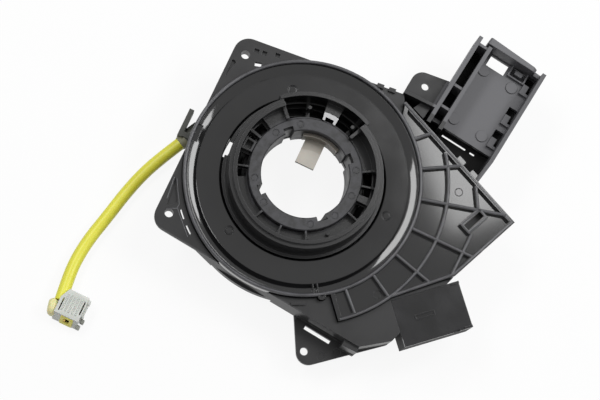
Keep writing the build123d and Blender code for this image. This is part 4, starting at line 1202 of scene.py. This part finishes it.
@dataclass
class AirbagLead:
    """The yellow lead from the rotor's clip to the igniter plug.

    Attributes:
        diameter: Outer diameter of the sleeve in millimetres.
        length: Length of the sleeve's centreline, 93 mm of it from the clip to the plug's back; not used.
        route: Control points of that line in millimetres.
        collar_length: Length of the strain relief on it.
        collar_wall: Wall of the strain relief at its root.
        collar_end: Wall of the strain relief at its end.
        groove: Depth of its grooves at its root.
        groove_step: A groove lies on every ring of so many.
    """

    diameter: float = 6.2
    length: float = 101.0
    route: tuple[Point, ...] = (
        (-59.6, -1.8, 4.6), (-65.0, -12.0, 3.7), (-70.9, -25.5, 3.1), (-74.6, -39.0, 3.1),
        (-77.3, -52.5, 3.1), (-80.4, -66.0, 3.1), (-81.6, -78.0, 3.5), (-80.9, -88.5, 4.6),
        (-79.4, -99.0, 5.2),
    )
    collar_length: float = 4.0
    collar_wall: float = 1.15
    collar_end: float = 0.15
    groove: float = 0.35
    groove_step: int = 4

    def sleeve(self) -> Piece:
        """Build the sleeve as one smooth curve.

        Returns:
            The sleeve.
        """
        curve = bpy.data.curves.new("lead", "CURVE")
        curve.dimensions = "3D"
        line = curve.splines.new("NURBS")
        line.points.add(len(self.route) - 1)
        for point, place in zip(line.points, self.route):
            point.co = (*metres(*place), 1.0)
        line.order_u = 3
        line.use_endpoint_u = True
        line.resolution_u = 12
        curve.bevel_depth = self.diameter / 2000
        curve.bevel_resolution = 10
        curve.use_fill_caps = True
        piece = link("lead", curve)
        set_material(piece, LEAD_YELLOW)
        return settle(piece, Body.ROTOR, Slot.LEAD, "lead_sleeve")

    def centreline(self, sleeve: Piece) -> list[Vector]:
        """Read the sleeve's own smooth line from its spline, in metres.

        Args:
            sleeve: The sleeve.

        Returns:
            The line's points.
        """
        bare = sleeve.data.copy()
        bare.bevel_depth = 0.0
        probe = link("lead_line", bare)
        graph = bpy.context.evaluated_depsgraph_get()
        graph.update()
        mesh = bpy.data.meshes.new_from_object(probe.evaluated_get(graph), depsgraph=graph)
        line = [vertex.co.copy() for vertex in mesh.vertices]
        bpy.data.objects.remove(probe)
        bpy.data.curves.remove(bare)
        bpy.data.meshes.remove(mesh)
        return line

    def collar(self, sleeve: Piece, sides: int = 20) -> Piece:
        """Build the tapered, grooved strain relief round the first stretch of the lead.

        Args:
            sleeve: The sleeve.
            sides: Number of sides of its section.

        Returns:
            The strain relief.
        """
        line = self.centreline(sleeve)
        rings, run = [], 0.0
        for here, after in zip(line, line[1:]):
            share = run / self.collar_length
            if share > 1:
                break
            way = (after - here).normalized()
            side = way.cross(Vector((0, 0, 1))).normalized()
            lift = side.cross(way)
            grooved = len(rings) % self.groove_step == self.groove_step // 2
            wall = self.collar_wall - self.collar_end - (self.groove if grooved else 0.0)
            radius = self.diameter / 2 + self.collar_end + wall * (1 - share)
            turns = (math.tau * k / sides for k in range(sides))
            rings.append([here * 1000 + (side * math.cos(t) + lift * math.sin(t)) * radius for t in turns])
            run += (after - here).length * 1000
        piece = solid_piece("lead_collar", [rings])
        set_material(piece, COLLAR_TAN)
        smooth(piece)
        return settle(piece, Body.ROTOR, Slot.CLIP)

    def build(self) -> list[Piece]:
        """Returns:
            The pieces.
        """
        lead = self.sleeve()
        plug = IgniterPlug().build()
        return [lead, self.collar(lead), *plug]


@dataclass
class FanTrim:
    """Rounded crests on the cover's bead and on the fan's rim and ribs, and its ejector marks.

    Attributes:
        bead_r: Outer radius of the bead in millimetres.
        bead_t: Width of the bead.
        rib_t: Width of a rib.
        crests: Radius of the ribs' crests and of the bead's.
        level: Height of all the crests' centre lines.
        margin: How far the crests of the rim lie inside its edge.
        arc_r: Outer radius of the fan's arc rib.
        arc: First and last angle in degrees of the arc rib.
        arc_step: Angle between points along an arc.
        rim_end: Last angle of the arc rib that is also the fan's edge.
        rim_in: How far inside that radius the short edge's crest starts.
        overlap: How far the radial ribs run into the bead.
        rib_angles: Angles of the radial ribs.
        corner: Where the fan's short edge ends at the connector.
        tip: The fan's tip.
        root: Where the fan's long edge meets the ring.
        slot: Centre of the slot in the fan.
        slot_size: Length and width along the middle of the slot's frame.
        spurs: Ends of the two ribs between the slot's frame and the fan's edges.
        tilt: Angle in degrees of the fan's long edge.
        marks: Places of the ejector marks.
        mark_size: Radius of their rims and of the rims' rounded edge.
    """

    bead_r: float = 57.5
    bead_t: float = 1.9
    rib_t: float = 1.5
    crests: Plan = (0.77, 0.9)
    level: float = 33.66
    margin: float = 1.0
    arc_r: float = 70.6
    arc: Plan = (-51.4, 35.5)
    arc_step: float = 3.0
    rim_end: float = -29.0
    rim_in: float = 0.6
    overlap: float = 0.4
    rib_angles: tuple[float, ...] = (-45.0, -30.0, -15.0, 0.0, 15.0, 30.0, 45.0)
    corner: Plan = (84.95, -12.0)
    tip: Plan = (100.7, 24.2)
    root: Plan = (29.0, 55.4)
    slot: Plan = (82.5, 16.3)
    slot_size: Plan = (11.5, 4.8)
    spurs: tuple[tuple[Plan, Plan], ...] = (((76.5, 32.4), (81.9, 22.8)), ((84.1, 10.0), (83.3, -12.3)))
    tilt: float = 23.5
    marks: tuple[Point, ...] = (
        polar(43.6, 1, 30.92), polar(43.6, 121, 30.92), polar(43.6, 241, 30.92), (70.6, 26.6, 30.92),
        (55.1, -35.7, 30.92))
    mark_size: Plan = (1.85, 0.26)

    def arc_line(self, radius: float, start: float, end: float) -> list[Point]:
        """Give points along an arc about the turning axis."""
        count = max(2, round((end - start) / self.arc_step))
        return [polar(radius, start + (end - start) * k / count, self.level) for k in range(count + 1)]

    def straight(self, *spots: Iterable[float]) -> list[Point]:
        """Give a line through plan points at the crests' height."""
        return [(*spot, self.level) for spot in spots]

    def reach(self, angle: float) -> float:
        """Give the distance from the turning axis to the fan's edge along an angle.

        Args:
            angle: The angle in degrees.

        Returns:
            The distance in millimetres.
        """
        edges = [self.corner, self.tip, self.root]
        low = polar(self.arc_r, self.rim_end)[:2]
        way = Vector(polar(1.0, angle)[:2])
        found = []
        for first, second in zip([low, *edges], edges):
            a, b = Vector(first), Vector(second)
            cross = way.cross(b - a)
            share = a.cross(way) / cross
            if 0 <= share <= 1:
                found.append(a.cross(b - a) / cross)
        return max(found, default=self.arc_r)

    def lines(self) -> list[list[Point]]:
        """Give the centre lines of all the crests but the bead's.

        Returns:
            The points of each line.
        """
        tilt = math.radians(self.tilt)
        inwards = Vector((-math.sin(tilt), -math.cos(tilt))) * self.margin
        aside = Vector((-math.cos(tilt), math.sin(tilt))) * self.margin
        tip, root, corner = Vector(self.tip), Vector(self.root), Vector(self.corner)
        made = [
            self.straight(corner + aside, tip + inwards + aside, root + inwards),
            self.straight(polar(self.arc_r - self.rim_in, self.rim_end)[:2], corner + aside),
            self.arc_line(self.arc_r - self.rib_t / 2, *self.arc),
        ]
        for angle in self.rib_angles:
            ends = (self.bead_r - self.overlap, self.reach(angle) - self.rib_t)
            made.append([polar(radius, angle, self.level) for radius in ends])
        made += [self.straight(*spur) for spur in self.spurs]
        turn = Matrix.Rotation(math.radians(90 - self.tilt), 2)
        length, width = self.slot_size
        around = [Vector((a * length, b * width)) / 2 for a, b in (*SQUARE, SQUARE[0])]
        made.append(self.straight(*(Vector(self.slot) + turn @ spot for spot in around)))
        return made

    def build(self) -> list[Piece]:
        """Build the crests and the marks.

        Returns:
            The pieces.
        """
        rib_crest, bead_crest = self.crests
        circle = self.arc_line(self.bead_r - self.bead_t / 2, 0.0, 360.0)
        pieces = (
            along(line_piece("fan_crests", self.lines()), rib_crest, CREST_PAINTED_GREY),
            along(line_piece("bead_crest", [circle]), bead_crest, CREST_PAINTED_GREY, 12),
            rims_at("ejector_rims", self.marks, self.mark_size, COVER_BLACK),
        )
        return [settle(piece, Body.STATOR, Slot.COVER) for piece in pieces]


@dataclass
class EarTrim:
    """The crests round the pocket and beside the slots of the free rear ear.

    Attributes:
        level: Height of the crests' line in millimetres.
        radius: Radius of a crest in millimetres.
        lines: Their corners in the plan.
    """

    level: float = 30.9
    radius: float = 0.34
    lines: tuple[tuple[Plan, ...], ...] = (
        ((-55.3, -26.2), (-54.0, -37.1)),
        ((-53.8, -26.3), (-50.7, -31.9), (-47.7, -36.8), (-47.6, -39.2), (-52.3, -41.8)),
        ((-47.6, -39.2), (-43.4, -43.5), (-37.4, -49.6)),
    )

    def build(self) -> list[Piece]:
        """Build the crests.

        Returns:
            The pieces.
        """
        lines = [[(x, y, self.level) for x, y in line] for line in self.lines]
        crests = along(line_piece("ear_crests", lines), self.radius, CREST_PAINTED_GREY)
        return [settle(crests, Body.STATOR, Slot.CASE)]


@dataclass
class TrayEnd(Placed):
    """The upright end wall of the module tray and the small keyed pocket beside its window.

    Attributes:
        wall: Low and high place of the wall along the tray, in millimetres.
        slant: Rise of its outer face along the tray for each millimetre to the left.
        outline: The wall's outline, as places across the tray and heights.
        pocket: The pocket's key and its three low rims.
        edge: Width of the softened edges.
    """

    turn: float = -7.3
    wall: Plan = (106.4, 108.5)
    slant: float = 0.05
    outline: tuple[Plan, ...] = (
        (40.6, 20.5), (40.6, 32.2), (41.4, 33.0), (66.2, 33.0), (67.8, 31.4), (67.8, 27.5), (71.1, 27.5),
        (71.1, 20.5))
    pocket: tuple[Block, ...] = (
        ((59.7, 63.8), (102.9, 105.2), (20.4, 25.0)), ((57.0, 57.9), (101.2, 106.6), (21.5, 24.0)),
        ((65.6, 66.5), (101.2, 106.6), (21.5, 24.0)), ((57.0, 66.5), (100.9, 101.7), (21.5, 24.0)))
    edge: float = 0.25

    def build(self) -> list[Piece]:
        """Build the wall and the pocket with softened edges.

        Returns:
            The pieces.
        """
        right = self.outline[-1][0]
        wall = [[self.place(u, v + slant * (right - u), z) for u, z in self.outline]
                for v, slant in zip(self.wall, (0.0, self.slant))]
        piece = solid_piece("tray_end_wall", [wall, *self.blocks(self.pocket)])
        round_edges(piece, self.edge, segments=2)
        set_material(piece, TRAY_END_PAINTED_GREY)
        return [settle(piece, Body.STATOR, Slot.CASE)]


@dataclass
class FixedHalf:
    """Case, cover and harness connector.

    Attributes:
        chamfer_end: Radii in millimetres between which the chamfer's upper edge lies.
        chamfer_was: Height of that edge in the solid.
        chamfer_top: Its height here, set so that the chamfer mirrors the two long soft boxes.
        socket: Centre of the connector.
        socket_turn: Angle of its mouth in degrees.
        pin_root: Where the pins start along the connector.
        pin_size: Width and length of a pin.
        pin_step: Step between pins and between their two rows.
    """

    chamfer_end: Plan = (54.9, 55.8)
    chamfer_was: float = 33.1
    chamfer_top: float = 32.65
    socket: Point = (82.5, -32.83, 22.0)
    socket_turn: float = 41.7
    pin_root: float = -14.0
    pin_size: Plan = (0.64, 16.0)
    pin_step: Plan = (2.5, 4.0)

    def cover(self) -> Piece:
        """Dress the cover, and lower its chamfer's upper edge.

        Returns:
            The piece.
        """
        piece = shown_copy("rear_cover", COVER_BLACK, Slot.COVER)
        low, high = (radius / 1000 for radius in self.chamfer_end)
        for vertex in piece.data.vertices:
            if low < vertex.co.xy.length < high and abs(vertex.co.z * 1000 - self.chamfer_was) < 0.1:
                vertex.co.z = self.chamfer_top / 1000
        return piece

    def pins(self) -> Piece:
        """Build the connector's pins.

        Returns:
            The piece.
        """
        turn = Matrix.Rotation(math.radians(self.socket_turn), 3, "Z")
        pitch, row = self.pin_step
        first = (1 - PIN_COLUMNS) / 2 * pitch
        root = turn @ Vector((self.pin_root, first, -row / 2)) + Vector(self.socket)
        return pin_rows("harness_pins", Body.STATOR, root, turn @ Vector((1, 0, 0)), self.pin_size,
                        turn @ metres(0, pitch, 0), metres(0, 0, row))

    def build(self) -> list[Piece]:
        """Dress the fixed half.

        Returns:
            The pieces.
        """
        return [
            shown_copy("stator_case", CASE_BLACK, Slot.CASE),
            self.cover(),
            shown_copy("harness_connector", CONNECTOR_BLACK, Slot.CONNECTOR),
            self.pins(),
        ]


@dataclass
class TurningHalf:
    """Drum, hub, transit lock and lead clip.

    Attributes:
        clip_edge: Width in millimetres of the lead clip's rounded edges.
        yoke: Outline of the small yoke in the hub's recess, as radii and angles.
        yoke_foot: Its foot's height.
        yoke_top: Height of its top over the turning axis.
        yoke_tilt: Rise of its top along X and along Y, which lets it mirror the card.
        marks: Radius and height of the ring of ejector marks on the hub's flange.
        mark_angles: Their angles in degrees.
        mark_size: Radius of their rims and of the rims' rounded edge.
        pin_root: Root of the first wheel pin.
        pin_size: Width and length of a wheel pin.
        pin_step: Step between wheel pins and between their two rows.
    """

    clip_edge: float = 0.3
    yoke: tuple[Plan, ...] = (
        (31.6, 84.0), (31.7, 88.0), (31.7, 93.0), (31.6, 97.6), (27.6, 97.6), (27.6, 95.2), (29.4, 95.0),
        (29.4, 91.0), (29.4, 87.0), (27.6, 86.6), (27.6, 84.0))
    yoke_foot: float = 38.5
    yoke_top: float = 43.0
    yoke_tilt: Plan = (-0.118, -0.074)
    marks: Plan = (24.1, 40.78)
    mark_angles: tuple[float, ...] = (0, 30, 120, 150, 210, 240, 300, 330)
    mark_size: Plan = (1.5, 0.2)
    pin_root: Point = (-8.5, -41.8, 8.5)
    pin_size: Plan = (0.64, 6.0)
    pin_step: Plan = (3.4, 3.6)

    def recess_yoke(self) -> Piece:
        """Build the polished yoke on the seat in the hub's recess.

        Returns:
            The piece.
        """
        spots = [polar(radius, angle)[:2] for radius, angle in self.yoke]
        rise_x, rise_y = self.yoke_tilt
        rings = [[(x, y, self.yoke_foot) for x, y in spots],
                 [(x, y, self.yoke_top + x * rise_x + y * rise_y) for x, y in spots]]
        piece = solid_piece("recess_yoke", [rings])
        set_material(piece, YOKE_BLACK)
        return settle(piece, Body.ROTOR, Slot.HUB)

    def hub_marks(self) -> Piece:
        """Build the rims of the hub flange's ejector marks.

        Returns:
            The piece.
        """
        radius, level = self.marks
        spots = [polar(radius, angle, level) for angle in self.mark_angles]
        return settle(rims_at("hub_mark_rims", spots, self.mark_size, HUB_BLACK), Body.ROTOR, Slot.HUB)

    def pins(self) -> Piece:
        """Build the pins of the wheel-side socket."""
        return pin_rows("wheel_pins", Body.ROTOR, Vector(self.pin_root), Vector((0, 0, -1)), self.pin_size,
                        metres(self.pin_step[0], 0, 0), metres(0, self.pin_step[1], 0))

    def build(self) -> list[Piece]:
        """Dress the turning half.

        Returns:
            The pieces.
        """
        return [
            shown_copy("rotor_case", ROTOR_BLACK, Slot.ROTOR),
            shown_copy("hub_ring", HUB_BLACK, Slot.HUB),
            shown_copy("transit_lock", LOCK_BEIGE, Slot.LOCK),
            shown_copy("lead_clip", CLIP_OLIVE, Slot.CLIP, self.clip_edge),
            shown_copy("wheel_connector", CONNECTOR_BLACK, Slot.CONNECTOR),
            self.recess_yoke(), self.hub_marks(), self.pins(),
        ]


def main() -> None:
    """Build the studio and the part, and report each piece."""
    logging.basicConfig(level=logging.INFO, format="%(name)s: %(message)s")
    Studio().build()
    for assembly in (AirbagLead(), FixedHalf(), FanTrim(), EarTrim(), TrayEnd(), TurningHalf()):
        for piece in assembly.build():
            LOG.info("%s: %s", type(assembly).__name__, piece.name)
    for node, finish in CARRIED_OVER.items():
        for slot in frame["nodes"][node].material_slots:
            slot.material = finish.material()
        LOG.info("carried over: %s", node)


if __name__ == "__main__":
    main()
